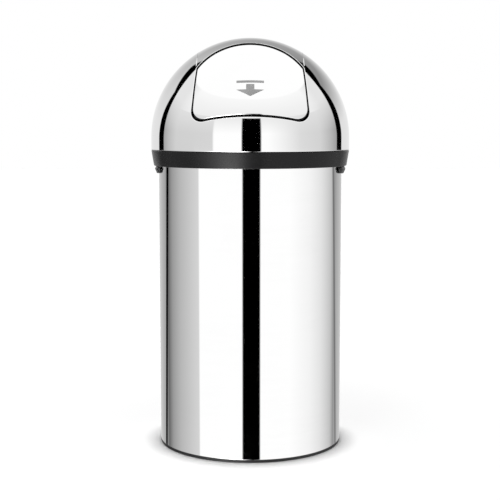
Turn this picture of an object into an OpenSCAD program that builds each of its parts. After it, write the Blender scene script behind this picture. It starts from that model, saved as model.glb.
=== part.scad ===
// Round push-flap waste bin with a polished dome lid.
// A rigid steel tube stands on a plastic base ring and carries a plastic
// top collar and two hand grips. A bucket hangs in the collar by its rim.
// The lid is a plastic ring with a steel dome; a sprung flap closes its mouth.
// The floor is z = 0, the front of the bin faces -Y and +X is to the right.

/* [Body tube] */
// Outer diameter of the steel body
body_d = 330; // [300:1:345]
// Height of the steel body tube
tube_h = 513.3; // [420:0.1:600]
// Thickness of the body sheet
sheet_t = 0.7; // [0.6:0.05:1.2]
// Height of the folded hem at the foot of the tube
hem_h = 4; // [3:0.5:6]
// Thickness of the floor plate
floor_t = 0.8; // [0.6:0.1:1.5]
// Radius of the stiffening bead pressed into the floor
floor_bead_r = 100; // [60:1:130]

/* [Base ring] */
// Height of the base ring that shows below the steel
foot_h = 5.3; // [4:0.1:9]
// Width of the base ring's tread
foot_w = 9; // [7:0.5:14]
// Height of the upstand inside the tube
upstand_h = 8; // [6:0.5:14]
// Thickness of the upstand
upstand_t = 2.4; // [2:0.1:3.5]
// Radius of the base ring's outer lower edge
foot_edge_r = 1.2; // [0.6:0.1:2]

/* [Top collar] */
// Thickness of the collar above the tube's edge
collar_cap_t = 5; // [4:0.5:7]
// Depth of the collar's two skirts below the tube's edge
collar_skirt_h = 5; // [4:0.5:7]
// Thickness of the collar's outer skirt
collar_wall = 2.7; // [2:0.1:3]
// Thickness of the ledge that carries the bucket
ledge_t = 4; // [3:0.5:5]

/* [Hand grips] */
// Half of the angle that each grip spans
grip_half_angle = 20.5; // [14:0.5:26]
// How far the grips are turned towards the front on the right side
grip_turn = 2.5; // [0:0.5:5]
// How far a grip stands out from the tube
grip_out = 7.4; // [7:0.1:9]
// Depth of a grip below the lid ring
grip_drop = 14; // [12:0.5:18]
// Thickness of a grip's fixing flange
grip_flange_t = 2.2; // [1.8:0.1:2.6]
// Height of a grip's shoulder above the ring's lower edge
grip_shoulder = 1; // [0.5:0.1:1.5]
// Diameter of the rivets' shanks
rivet_d = 4; // [3:0.2:4.4]

/* [Lid ring] */
// How far the lid ring's top edge stands out past the steel tube
ring_overhang = 13.4; // [13:0.1:20]
// Height of the lid ring
ring_h = 27.4; // [24:0.1:32]
// How much the ring's radius shrinks towards its lower edge
ring_taper = 4.5; // [3:0.1:6]
// Wall of the lid ring
ring_wall = 3; // [2.4:0.1:3.2]
// Wall of the skirt that locates the ring around the collar
locate_wall = 1.8; // [1.5:0.1:2]
// Height of the ring's top edge above its seat on the collar
ring_over = 9; // [8:0.5:12]
// Radius of the ring's lower outer edge
ring_edge_r = 2.6; // [1.5:0.1:2.9]
// Radius of the ring's upper outer edge
ring_lip_r = 0.8; // [0.4:0.1:1.2]
// Height of the shadow groove between ring and dome
groove_h = 0.7; // [0.4:0.1:1.2]
// Depth of the shadow groove
groove_w = 1.4; // [1:0.1:2]
// Thickness of the ring's top plate under the dome
plate_t = 3; // [2.5:0.1:4]
// Width of the rib that seats the ring on the collar
rib_w = 2.5; // [2:0.1:3]
// Space between the seat rib and the bucket's rim
rim_clear = 4.9; // [3:0.1:6]
// Number of screws that hold the dome to the ring
screw_count = 6; // [4:1:10]
// Thread diameter of the ring screws
screw_d = 3.5; // [3:0.1:4]
// Length of the ring screws below their heads
screw_l = 14; // [12:0.5:16]
// Distance from the dome's inner face to the screws' axes
screw_inset = 5; // [4.8:0.1:5.4]
// Wall of the bosses that take the ring screws
boss_wall = 2.2; // [1.8:0.1:2.6]

/* [Dome] */
// Thickness of the dome sheet
dome_t = 0.8; // [0.7:0.05:1.2]
// Height of the straight skirt below the half sphere
dome_skirt_h = 20.9; // [15:0.1:35]
// Width of the flange turned in at the dome's foot
dome_flange_w = 15; // [13:0.5:18]

/* [Mouth] */
// Angle of the mouth's cutting direction above the horizontal
mouth_tilt = 25; // [20:0.5:30]
// Height of the mouth, square to the cutting direction
mouth_h = 156.6; // [140:0.1:162]
// Mouth's lower edge below the dome's centre, square to the cutting direction
mouth_drop = 38.5; // [30:0.1:45]
// Width of the mouth along its lower edge
mouth_w = 203.4; // [180:0.1:210]
// Angle at which the mouth's sides lean in
mouth_lean = 6.3; // [3:0.1:9]
// Radius of the mouth's arched top
mouth_arc_r = 108.5; // [102:0.5:125]
// Radius of the mouth's lower corners
mouth_corner_r = 17.7; // [12:0.1:24]
// Depth of the edge turned in around the mouth
mouth_edge = 4; // [2.5:0.1:4.5]

/* [Flap] */
// Gap between the flap and the mouth
flap_gap = 2.3; // [2:0.1:3.5]
// Radius of the flap's lower corners
flap_corner_r = 18.7; // [14:0.1:24]
// Thickness of the flap sheet
flap_t = 0.8; // [0.7:0.05:1.2]
// Depth of the flap's turned-in edge
flap_rim = 7; // [5.5:0.1:8]
// Thickness of the plastic carrier behind the flap
carrier_t = 2.5; // [2:0.1:3]
// Overlap of the carrier's stop ears behind the dome
stop_overlap = 9; // [8:0.5:11]
// Height of the stop ears
stop_h = 16; // [12:0.5:20]
// Width of the grey push mark
mark_w = 46; // [40:1:60]
// Height of the whole push mark
mark_h = 30; // [20:0.5:34]
// Mark's top edge above the dome's centre, square to the cutting direction
mark_top = 26; // [10:0.5:70]

/* [Hinge] */
// Angle from the mouth's top edge back to the hinge axis, at the dome's centre
hinge_behind = 3.6; // [3:0.1:6]
// Depth of the hinge axis below the dome's outer face
hinge_depth = 20.9; // [19:0.1:24]
// Diameter of the hinge axle
axle_d = 6; // [5:0.1:6.6]
// Distance from the middle to the inner face of each flap arm
arm_x = 40; // [34:0.5:42]
// Thickness of each flap arm
arm_t = 5; // [4:0.1:6]
// Distance from the middle to the inner face of each bracket
bracket_x = 60; // [58:0.5:62]
// Thickness of the bracket sheet
bracket_t = 2; // [1.5:0.1:2.5]
// Width of each bracket's welded foot
bracket_foot_w = 13; // [9:0.5:15]
// Radius of the eyes around the axle
eye_r = 8.5; // [8:0.1:9]
// Wire diameter of the return springs
spring_wire_d = 1.6; // [1.2:0.1:1.8]
// Number of turns of each return spring
spring_turns = 5; // [3:1:6]
// Length of the springs' legs beside the flap arms
spring_arm_leg = 16; // [10:1:17]
// Length of the springs' legs that bear on the dome
spring_dome_leg = 18.2; // [12:0.1:18.5]

/* [Bucket] */
// Space between the tube's outer face and the bucket's wall at its rim
bucket_space = 10.7; // [10.5:0.1:20]
// How much smaller the bucket's radius is at its foot
bucket_taper = 14.3; // [8:0.1:30]
// Thickness of the bucket sheet
bucket_t = 0.6; // [0.5:0.05:1]
// Radius of the bucket's rolled rim
rim_r = 3.2; // [2.6:0.1:3.2]
// Space between the bucket's foot and the bin's floor
bucket_lift_gap = 6; // [4:0.5:20]
// Height of the seam under the bucket's base
seam_h = 4; // [3:0.5:8]
// Radius of the bucket's stiffening beads
bead_r = 1.8; // [1.2:0.1:2.4]
// Number of vent holes near the bucket's foot
vent_count = 8; // [4:1:12]
// Diameter of each vent hole
vent_d = 8; // [5:0.5:12]
// Height of the vent holes above the bucket's base
vent_h = 30; // [20:1:60]

/* [Bail] */
// Depth of the bail's pivots below the collar's top face
pivot_drop = 12; // [11:0.5:16]
// Wire diameter of the bail
bail_d = 5; // [4:0.1:5.4]
// Diameter of the bail's upset pivot ends
pivot_d = 5.6; // [5.5:0.1:6]
// Space between the bail's wire and the bucket's wall
bail_space = 9.5; // [8:0.1:12]
// Space between the bail's pivot ends and the bucket's wall
pin_space = 3.4; // [3:0.1:5]
// Length of the plastic sleeve on the bail
bail_grip_l = 110; // [80:1:130]
// Outer diameter of the sleeve on the bail
bail_grip_d = 9; // [8:0.1:9]
// Thickness of the ear plates
ear_t = 1.6; // [1.2:0.1:2]
// Width of the ear plates
ear_w = 30; // [26:0.5:34]
// Height of the ear plates
ear_h = 18; // [16:0.5:20]

/* [Clearances] */
// Gap between pieces that rest on each other and lift apart
seat_gap = 0.3; // [0.2:0.05:0.4]
// Gap around pieces that are fixed to each other
fix_gap = 0.1; // [0.05:0.01:0.15]
// Radial running clearance of the axle in the bushes
run_gap = 0.06; // [0.04:0.01:0.1]
// Gap between the lid ring's locating skirt and the collar
locate_gap = 0.6; // [0.4:0.1:0.8]
// Gap between the bucket's wall and the collar's ledge
pass_gap = 1.5; // [1.5:0.1:1.8]

/* [Hidden] */

big_fn = 128;
small_fn = 32;
cut_over = 10;

// Body and base ring
body_r = body_d / 2;
tube_in_r = body_r - sheet_t;
tube_top = foot_h + tube_h;
hem_in_r = body_r - 2 * sheet_t;
upstand_r = hem_in_r - fix_gap;
floor_z = foot_h + upstand_h;
tread_drop = 1;
tread_z = foot_h - tread_drop;
bead_h = 2;
bead_w = 8;

// Collar: a channel over the tube's edge with a ledge for the bucket
channel_gap = 0.3;
collar_top = tube_top + collar_cap_t;
skirt_z = tube_top - collar_skirt_h;
collar_r = body_r + channel_gap + collar_wall;
bucket_top_r = body_r - bucket_space;
ledge_r = bucket_top_r + pass_gap;
collar_inner_wall = 3;

// Lid ring
seat_z = collar_top + seat_gap;
ring_r = body_r + ring_overhang;
ring_top = seat_z + ring_over;
ring_bottom = ring_top - ring_h;
ring_low_r = ring_r - ring_taper;
ring_slope = ring_taper / ring_h;
skirt_in_r = collar_r + locate_gap;
skirt_out_r = skirt_in_r + locate_wall;
locate_drop = 2;
locate_z = skirt_z - locate_drop;
rim_set = 1.7;
rim_c = bucket_top_r + rim_set;
rib_in_r = rim_c + rim_r + rim_clear;

// Dome
dome_r = ring_r;
dome_z = ring_top + groove_h;
dome_c = dome_z + dome_skirt_h;
dome_in_r = dome_r - dome_t;
screw_r = dome_in_r - screw_inset;
screw_head_r = screw_d * 1.1;
screw_head_h = 2;
screw_boss_r = screw_d / 2 + boss_wall;

// Mouth outline in its own plane: u to the right, v up
mouth_low = -mouth_drop;
mouth_top = mouth_low + mouth_h;
arc_v = mouth_top - mouth_arc_r;
cut_from = 40;
cut_to = dome_r + 2 * cut_over;
cut_v = dome_r;

// Hinge axis, measured from the dome's centre
hinge_r = dome_r - hinge_depth;
hinge_elev = mouth_tilt + asin(mouth_top / dome_r) + hinge_behind;
hinge_y = -hinge_r * cos(hinge_elev);
hinge_z = dome_c + hinge_r * sin(hinge_elev);
axle_r = axle_d / 2;
clip_t = 1;
clip_gap = 0.1;
clip_w = 2.4;
clip_r = axle_r + clip_w;
axle_end = 2.5;
axle_half = bracket_x + bracket_t + clip_gap + clip_t + axle_end;
bush_wall = 2;
bush_r = axle_r + bush_wall;
bush_flange_w = 1.6;
bush_flange_r = bush_r + bush_flange_w;
bush_flange_t = 1;
arm_out = arm_x + arm_t;
spring_room = bracket_x - arm_out - bush_flange_t;
spring_clear = 0.5;
spring_r = axle_r + spring_clear + spring_wire_d / 2;
carrier_r = dome_r - flap_t - fix_gap;
arm_clear = 12;

// Stops
stop_drop = 1;
ear_r = dome_r - flap_rim - stop_drop;
ear_thick = 3;
stop_v = 12;
pad_inset = 2.3;

// Bucket
bucket_z = floor_z + floor_t + bucket_lift_gap;
bucket_low_r = bucket_top_r - bucket_taper;
rim_z = collar_top + seat_gap + rim_r;
bucket_slope = (bucket_top_r - bucket_low_r) / (rim_z - bucket_z);
base_z = bucket_z + seam_h;
pivot_z = collar_top - pivot_drop;
bail_r = bail_d / 2;
function bucket_r_at(z) = bucket_low_r + (z - bucket_z) * bucket_slope;
wall_in_pivot = bucket_r_at(pivot_z) - bucket_t;
bail_path_r = wall_in_pivot - bail_space - bail_r;
pivot_r = pivot_d / 2;
boss_rim = 2.8;
boss_r = pivot_r + boss_rim;
boss_gap = 0.6;
boss_in = bail_path_r + bail_r + boss_gap;
pin_end = wall_in_pivot - pin_space;
ear_rivet_inset = 4;
ear_rivet_y = ear_w / 2 - ear_rivet_inset;
ear_rivet_r = 1.6;
ear_head_r = 2.8;
ear_head_h = 1.1;

// Rivets of the grips
rivet_r = rivet_d / 2;
grip_neck_z = ring_bottom;
grip_top_gap = 0.2;
grip_flange_z = skirt_z - grip_top_gap;
rivet_head_r = rivet_r * 1.35;
rivet_z = grip_neck_z + grip_shoulder + rivet_head_r + fix_gap;
rivet_head_h = 1.1;
rivet_spread = grip_half_angle * 0.6;

// Points along an arc, from angle a0 to angle a1
function arc(cx, cy, r, a0, a1, n = 8) =
    [for (i = [0:n]) let (a = a0 + (a1 - a0) * i / n) [cx + r * cos(a), cy + r * sin(a)]];

// Mirror image of a list of points about the vertical axis, in reverse order
function mirrored(p) = [for (i = [len(p) - 1:-1:0]) [-p[i][0], p[i][1]]];

// ---------- shared shapes ----------

// Half width of the mouth's side line at height v, grown by g
function mouth_side(v, g) = mouth_w / 2 - (v - mouth_low) * tan(mouth_lean) + g / cos(mouth_lean);

// Right half of the mouth below its arch, grown by g, with corner radius rc
function mouth_half(g, rc) =
    let (vc = mouth_low - g + rc)
    let (uc = mouth_side(vc, g) - rc / cos(mouth_lean))
    concat(arc(uc, vc, rc, -90, mouth_lean), [[mouth_side(cut_v, g), cut_v]]);

module mouth_outline(g, rc) {
    intersection() {
        polygon(concat(mouth_half(g, rc), mirrored(mouth_half(g, rc))));
        union() {
            translate([0, arc_v]) circle(r = mouth_arc_r + g, $fn = big_fn);
            translate([-cut_v, arc_v - 2 * cut_v]) square([2 * cut_v, 2 * cut_v]);
        }
    }
}

// Solid drawn in the mouth's plane and run along the cutting direction
module along_mouth(from, to) {
    translate([0, 0, dome_c])
        rotate([90 - mouth_tilt, 0, 0])
            translate([0, 0, from]) linear_extrude(to - from) children();
}

module mouth_prism(g, rc) {
    along_mouth(cut_from, cut_to) mouth_outline(g, rc);
}

module ball(r) {
    translate([0, 0, dome_c]) sphere(r = r, $fn = big_fn);
}

module shell_between(r_in, r_out) {
    difference() {
        ball(r_out);
        ball(r_in);
    }
}

// Plate drawn in the Y-Z plane, from x0 to x1
module side_plate(x0, x1) {
    translate([x0, 0, 0])
        rotate([90, 0, 90]) linear_extrude(x1 - x0) children();
}

// Cylinder along +X from x0 to x1 around the point (y, z)
module bar_x(x0, x1, y, z, r) {
    translate([x0, y, z]) rotate([0, 90, 0]) cylinder(h = x1 - x0, r = r, $fn = small_fn);
}

// Both sides of something drawn on the +X side
module both_sides() {
    children();
    mirror([1, 0, 0]) children();
}

// ---------- body ----------

module body_shell() {
    color([0.80, 0.81, 0.82]) difference() {
        rotate_extrude($fn = big_fn) polygon([
            [body_r, foot_h], [body_r, tube_top], [tube_in_r, tube_top],
            [tube_in_r, foot_h + hem_h], [hem_in_r, foot_h + hem_h], [hem_in_r, foot_h]]);
        at_rivets() cylinder(h = 2 * grip_out, r = rivet_r + fix_gap / 2, center = true, $fn = small_fn);
    }
}

module body_floor() {
    color([0.62, 0.63, 0.64]) rotate_extrude($fn = big_fn) polygon([
        [0, floor_z], [floor_bead_r - bead_w, floor_z],
        [floor_bead_r - bead_w / 2, floor_z + bead_h], [floor_bead_r + bead_w / 2, floor_z + bead_h],
        [floor_bead_r + bead_w, floor_z], [tube_in_r - fix_gap, floor_z],
        [tube_in_r - fix_gap, floor_z + floor_t], [floor_bead_r + bead_w, floor_z + floor_t],
        [floor_bead_r + bead_w / 2, floor_z + bead_h + floor_t],
        [floor_bead_r - bead_w / 2, floor_z + bead_h + floor_t],
        [floor_bead_r - bead_w, floor_z + floor_t], [0, floor_z + floor_t]]);
}

module base_ring() {
    color([0.10, 0.10, 0.11]) rotate_extrude($fn = big_fn) polygon(concat(
        arc(body_r - foot_edge_r, foot_edge_r, foot_edge_r, -90, 0, 4),
        [[body_r, foot_h], [upstand_r, foot_h], [upstand_r, floor_z], [upstand_r - upstand_t, floor_z],
        [upstand_r - upstand_t, tread_z], [body_r - foot_w, tread_z], [body_r - foot_w, 0]]));
}

module top_collar() {
    color([0.12, 0.12, 0.13]) rotate_extrude($fn = big_fn) polygon([
        [ledge_r, collar_top - ledge_t], [tube_in_r - channel_gap - collar_inner_wall, collar_top - ledge_t],
        [tube_in_r - channel_gap - collar_inner_wall, skirt_z], [tube_in_r - channel_gap, skirt_z],
        [tube_in_r - channel_gap, tube_top], [body_r + channel_gap, tube_top],
        [body_r + channel_gap, skirt_z], [collar_r, skirt_z], [collar_r, collar_top],
        [ledge_r, collar_top]]);
}

// Section of a grip: a fixing flange above, a finger lip below
module grip_section() {
    nose_r = 2.2;
    tip_r = 1.6;
    tip_set = 0.4;
    heel_set = 1;
    heel_high = 0.35;
    heel_low = 0.55;
    nose_low = 0.4;
    neck_out = 0.6;
    nose_x = body_r + grip_out - nose_r;
    nose_z = grip_neck_z - grip_drop * nose_low;
    tip_x = nose_x - tip_set;
    tip_z = grip_neck_z - grip_drop + tip_r;
    inner = body_r + fix_gap;
    polygon(concat(
        [[inner, grip_flange_z], [inner, grip_neck_z - grip_drop * heel_high]],
        [[inner + heel_set, grip_neck_z - grip_drop * heel_low]],
        arc(tip_x, tip_z, tip_r, 200, 330, 6),
        arc(nose_x, nose_z, nose_r, -20, 50, 6),
        [[body_r + grip_out * neck_out, grip_neck_z],
        [inner + grip_flange_t, grip_neck_z + grip_shoulder],
        [inner + grip_flange_t, grip_flange_z]]));
}

module grip(middle) {
    color([0.11, 0.11, 0.12]) difference() {
        rotate([0, 0, middle - grip_half_angle])
            rotate_extrude(angle = 2 * grip_half_angle, $fn = big_fn) grip_section();
        at_rivets() cylinder(h = 4 * grip_out, r = rivet_r + fix_gap / 2, center = true, $fn = small_fn);
    }
}

module grip_left() {
    grip(180 + grip_turn);
}

module grip_right() {
    grip(-grip_turn);
}

// Puts a rivet's axis through the tube's wall at each fixing point
module at_rivets() {
    for (middle = [-grip_turn, 180 + grip_turn])
        for (side = [-1, 1])
            rotate([0, 0, middle + side * rivet_spread])
                translate([body_r, 0, rivet_z]) rotate([0, 90, 0]) children();
}

module grip_rivets() {
    flange_face = fix_gap + grip_flange_t;
    tail_h = 1;
    crown = 0.7;
    color([0.55, 0.56, 0.58]) at_rivets() {
        translate([0, 0, -sheet_t - tail_h])
            cylinder(h = flange_face + fix_gap + sheet_t + tail_h, r = rivet_r, $fn = small_fn);
        translate([0, 0, flange_face + fix_gap])
            cylinder(h = rivet_head_h, r1 = rivet_head_r, r2 = rivet_head_r * crown, $fn = small_fn);
        translate([0, 0, -sheet_t - fix_gap - tail_h])
            cylinder(h = tail_h, r = rivet_head_r, $fn = small_fn);
    }
}

// ---------- bucket ----------

module bucket_wall() {
    bead_low = bucket_z + (rim_z - bucket_z) / 3;
    bead_high = bucket_z + (rim_z - bucket_z) * 2 / 3;
    vent_z = base_z + vent_h;
    color([0.66, 0.68, 0.70]) difference() {
        rotate_extrude($fn = big_fn) union() {
            polygon([[bucket_low_r, bucket_z], [bucket_top_r, rim_z],
                [bucket_top_r - bucket_t, rim_z], [bucket_low_r - bucket_t, bucket_z]]);
            translate([rim_c, rim_z]) circle(r = rim_r, $fn = small_fn);
            for (z = [bead_low, bead_high])
                translate([bucket_r_at(z) - bucket_t / 2, z]) circle(r = bead_r, $fn = small_fn);
        }
        for (i = [0:vent_count - 1])
            rotate([0, 0, 360 / vent_count * (i + 0.5)])
                bar_x(bucket_low_r - cut_over, bucket_top_r + cut_over, 0, vent_z, vent_d / 2);
        at_ears() ear_rivet_holes();
    }
}

module bucket_base() {
    base_r = bucket_low_r - bucket_t - fix_gap;
    color([0.62, 0.64, 0.66]) rotate_extrude($fn = big_fn) polygon([
        [0, base_z], [base_r - bucket_t, base_z], [base_r - bucket_t, bucket_z],
        [base_r, bucket_z], [base_r, base_z + bucket_t], [0, base_z + bucket_t]]);
}

// Draws something on the +X ear and on the -X ear
module at_ears() {
    both_sides() children();
}

module ear_rivet_holes() {
    for (side = [-1, 1])
        bar_x(bucket_low_r - 2 * cut_over, bucket_top_r + cut_over, side * ear_rivet_y, pivot_z,
            ear_rivet_r + fix_gap / 2);
}

// Outer radius of an ear plate at height z, just inside the tapered wall
function ear_face(z) = bucket_r_at(z) - bucket_t - fix_gap;

// Tab under the folded bail, beside the ear's boss
module bail_stop() {
    tab_t = 2;
    tab_w = 3.4;
    tab_sink = 1;
    top = pivot_z - bail_r - seat_gap;
    from = bail_path_r - bail_r - tab_sink;
    translate([from, boss_r - tab_sink, top - tab_t])
        cube([ear_face(pivot_z) - ear_t * 1.1 - from, tab_w, tab_t]);
}

module bail_ears() {
    ear_set = 4;
    low = pivot_z - ear_h / 2;
    high = low + ear_h - ear_set;
    color([0.60, 0.61, 0.63]) at_ears() difference() {
        union() {
            intersection() {
                difference() {
                    translate([0, 0, low])
                        cylinder(h = high - low, r1 = ear_face(low), r2 = ear_face(high), $fn = big_fn);
                    translate([0, 0, low - 1])
                        cylinder(h = high - low + 2, r1 = ear_face(low - 1) - ear_t,
                            r2 = ear_face(high + 1) - ear_t, $fn = big_fn);
                }
                translate([0, -ear_w / 2, low]) cube([2 * bucket_top_r, ear_w, high - low]);
            }
            bar_x(boss_in, wall_in_pivot - fix_gap - boss_gap, 0, pivot_z, boss_r);
            bail_stop();
            mirror([0, 1, 0]) bail_stop();
        }
        bar_x(boss_in - 1, bucket_top_r, 0, pivot_z, pivot_r + fix_gap);
        ear_rivet_holes();
    }
}

module ear_rivets() {
    inner = sqrt(pow(ear_face(pivot_z) - ear_t, 2) - pow(ear_rivet_y, 2)) - fix_gap;
    outer = sqrt(pow(bucket_r_at(pivot_z), 2) - pow(ear_rivet_y, 2)) + fix_gap;
    sink = 0.5;
    color([0.50, 0.51, 0.53]) at_ears() for (side = [-1, 1]) {
        bar_x(inner - ear_head_h, outer + sink, side * ear_rivet_y, pivot_z, ear_rivet_r);
        bar_x(inner - ear_head_h - sink, inner - sink, side * ear_rivet_y, pivot_z, ear_head_r);
        bar_x(outer + sink, outer + sink + ear_head_h / 2, side * ear_rivet_y, pivot_z, ear_head_r);
    }
}

// ---------- bail ----------

module bail_wire() {
    color([0.70, 0.71, 0.73]) translate([0, 0, pivot_z]) {
        rotate_extrude(angle = 180, $fn = big_fn)
            translate([bail_path_r, 0]) circle(r = bail_r, $fn = small_fn);
        both_sides() bar_x(bail_path_r - pivot_r, pin_end, 0, 0, pivot_r);
    }
}

module bail_grip() {
    half = bail_grip_l / bail_path_r * 90 / PI;
    color([0.13, 0.13, 0.14]) translate([0, 0, pivot_z]) rotate([0, 0, 90 - half])
        rotate_extrude(angle = 2 * half, $fn = big_fn)
            translate([bail_path_r, 0]) difference() {
                circle(r = bail_grip_d / 2, $fn = small_fn);
                circle(r = bail_r + fix_gap, $fn = small_fn);
            }
}

// ---------- lid ----------

// Section of the lid ring: outer wall, top plate, locating skirt, seat rib
module ring_section() {
    edge_z = ring_bottom + ring_edge_r;
    lean = atan(ring_slope);
    edge_x = ring_low_r + ring_edge_r * ring_slope - ring_edge_r / cos(lean);
    plate_top = dome_z;
    plate_low = dome_z - plate_t;
    inner_low = ring_low_r - ring_wall / cos(lean);
    inner_top = inner_low + (plate_low - ring_bottom) * ring_slope;
    polygon(concat(
        [[inner_low, ring_bottom]],
        arc(edge_x, edge_z, ring_edge_r, -90, -lean, 6),
        arc(ring_r - ring_lip_r, ring_top - ring_lip_r, ring_lip_r, 0, 90, 3),
        [[ring_r - groove_w, ring_top], [ring_r - groove_w, plate_top], [rib_in_r, plate_top],
        [rib_in_r, seat_z], [rib_in_r + rib_w, seat_z], [rib_in_r + rib_w, plate_low],
        [skirt_in_r, plate_low], [skirt_in_r, locate_z], [skirt_out_r, locate_z],
        [skirt_out_r, plate_low], [inner_top, plate_low]]));
}

// Places something at each of the ring's screws
module at_screws() {
    for (i = [0:screw_count - 1])
        rotate([0, 0, 360 / screw_count * (i + 0.5)]) translate([screw_r, 0, 0]) children();
}

module lid_ring() {
    boss_top = dome_z - plate_t;
    boss_low = dome_z + dome_t - screw_l;
    color([0.17, 0.17, 0.18]) difference() {
        union() {
            rotate_extrude($fn = big_fn) ring_section();
            at_screws() translate([0, 0, boss_low])
                cylinder(h = boss_top - boss_low + plate_t / 2, r = screw_boss_r, $fn = small_fn);
        }
        at_screws() translate([0, 0, boss_low - plate_t])
            cylinder(h = screw_l + 2 * plate_t, r = screw_d / 2 + fix_gap, $fn = small_fn);
    }
}

// Half sphere on a straight skirt, as a section
module dome_section(r, low) {
    intersection() {
        circle(r = r, $fn = big_fn);
        square([r + 1, r + 1]);
    }
    translate([0, -low]) square([r, low]);
}

module dome_shell() {
    flange_in = dome_r - dome_flange_w;
    color([0.84, 0.85, 0.86]) difference() {
        union() {
            difference() {
                translate([0, 0, dome_c]) rotate_extrude($fn = big_fn) difference() {
                    dome_section(dome_r, dome_skirt_h);
                    dome_section(dome_in_r, dome_skirt_h - dome_t);
                    translate([-1, -2 * dome_skirt_h]) square([flange_in + 1, 2 * dome_skirt_h]);
                }
            }
            intersection() {
                mouth_prism(dome_t, mouth_corner_r + dome_t);
                shell_between(dome_r - mouth_edge, dome_r - dome_t / 2);
            }
        }
        mouth_prism(0, mouth_corner_r);
        at_screws() translate([0, 0, dome_z - 1])
            cylinder(h = dome_t + 2, r = screw_d / 2 + fix_gap, $fn = small_fn);
    }
}

module ring_screws() {
    head_z = dome_z + dome_t;
    color([0.72, 0.73, 0.75]) at_screws() {
        translate([0, 0, head_z])
            cylinder(h = screw_head_h, r1 = screw_head_r, r2 = screw_head_r * 0.75, $fn = small_fn);
        translate([0, 0, head_z - screw_l]) cylinder(h = screw_l, r = screw_d / 2, $fn = small_fn);
    }
}

// Angles at the dome's centre between which a bracket's foot lies
foot_from = hinge_elev + 2;
foot_to = hinge_elev + 15;

// Outline of a bracket's web: an eye at the axle and a foot on the dome
module bracket_web() {
    far = dome_r + cut_over;
    polygon([
        [hinge_y - eye_r * sin(hinge_elev), hinge_z - eye_r * cos(hinge_elev)],
        [-far * cos(foot_from), dome_c + far * sin(foot_from)],
        [-far * cos(foot_to), dome_c + far * sin(foot_to)],
        [hinge_y + eye_r * sin(hinge_elev), hinge_z + eye_r * cos(hinge_elev)]]);
    translate([hinge_y, hinge_z]) circle(r = eye_r, $fn = small_fn);
}

module bracket_foot() {
    far = dome_r + cut_over;
    near = dome_r / 2;
    polygon([
        [-near * cos(foot_from), dome_c + near * sin(foot_from)],
        [-far * cos(foot_from), dome_c + far * sin(foot_from)],
        [-far * cos(foot_to), dome_c + far * sin(foot_to)],
        [-near * cos(foot_to), dome_c + near * sin(foot_to)]]);
}

module hinge_bracket() {
    face_r = dome_in_r - fix_gap;
    difference() {
        union() {
            intersection() {
                side_plate(bracket_x, bracket_x + bracket_t) bracket_web();
                ball(face_r);
            }
            intersection() {
                side_plate(bracket_x, bracket_x + bracket_foot_w) bracket_foot();
                shell_between(face_r - bracket_t, face_r);
            }
        }
        bar_x(bracket_x - 1, bracket_x + bracket_t + 1, hinge_y, hinge_z, axle_r + fix_gap / 2);
    }
}

module hinge_bracket_left() {
    color([0.58, 0.59, 0.61]) mirror([1, 0, 0]) hinge_bracket();
}

module hinge_bracket_right() {
    color([0.58, 0.59, 0.61]) hinge_bracket();
}

module hinge_axle() {
    color([0.75, 0.76, 0.78]) bar_x(-axle_half, axle_half, hinge_y, hinge_z, axle_r);
}

module axle_clips() {
    start = bracket_x + bracket_t + clip_gap;
    color([0.40, 0.41, 0.43]) both_sides() difference() {
        bar_x(start, start + clip_t, hinge_y, hinge_z, clip_r);
        bar_x(start - 1, start + clip_t + 1, hinge_y, hinge_z, axle_r + fix_gap / 2);
    }
}

// Strip of the mouth's plane that the stops share, from u0 to u1
module stop_strip(u0, u1, inset) {
    translate([u0, stop_v + inset]) square([u1 - u0, stop_h - 2 * inset]);
}

module stop_pads() {
    start = mouth_side(stop_v, dome_t) + pad_inset - 1;
    color([0.08, 0.08, 0.08]) both_sides() intersection() {
        along_mouth(cut_from, cut_to) stop_strip(start, start + stop_overlap - 2, 1);
        shell_between(ear_r + seat_gap, dome_in_r - fix_gap);
    }
}

// ---------- flap ----------

module flap_panel() {
    color([0.86, 0.87, 0.88]) intersection() {
        mouth_prism(-flap_gap, flap_corner_r);
        difference() {
            ball(dome_r);
            intersection() {
                ball(dome_r - flap_t);
                mouth_prism(-flap_gap - flap_t, flap_corner_r - flap_t);
            }
            ball(dome_r - flap_rim);
        }
    }
}

// Outline of a flap arm: an eye at the axle and a broad foot on the carrier.
// The arm's root lies a little inside the eye's edge.
module arm_outline() {
    foot_high = hinge_elev - 12;
    foot_low = hinge_elev - 38;
    root_r = eye_r * 0.8;
    polygon([
        [hinge_y - root_r * sin(hinge_elev), hinge_z - root_r * cos(hinge_elev)],
        [hinge_y + root_r * cos(hinge_elev), hinge_z - root_r * sin(hinge_elev)],
        [-dome_r * cos(foot_low), dome_c + dome_r * sin(foot_low)],
        [-dome_r * cos(foot_high), dome_c + dome_r * sin(foot_high)]]);
    translate([hinge_y, hinge_z]) circle(r = eye_r, $fn = small_fn);
}

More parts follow.
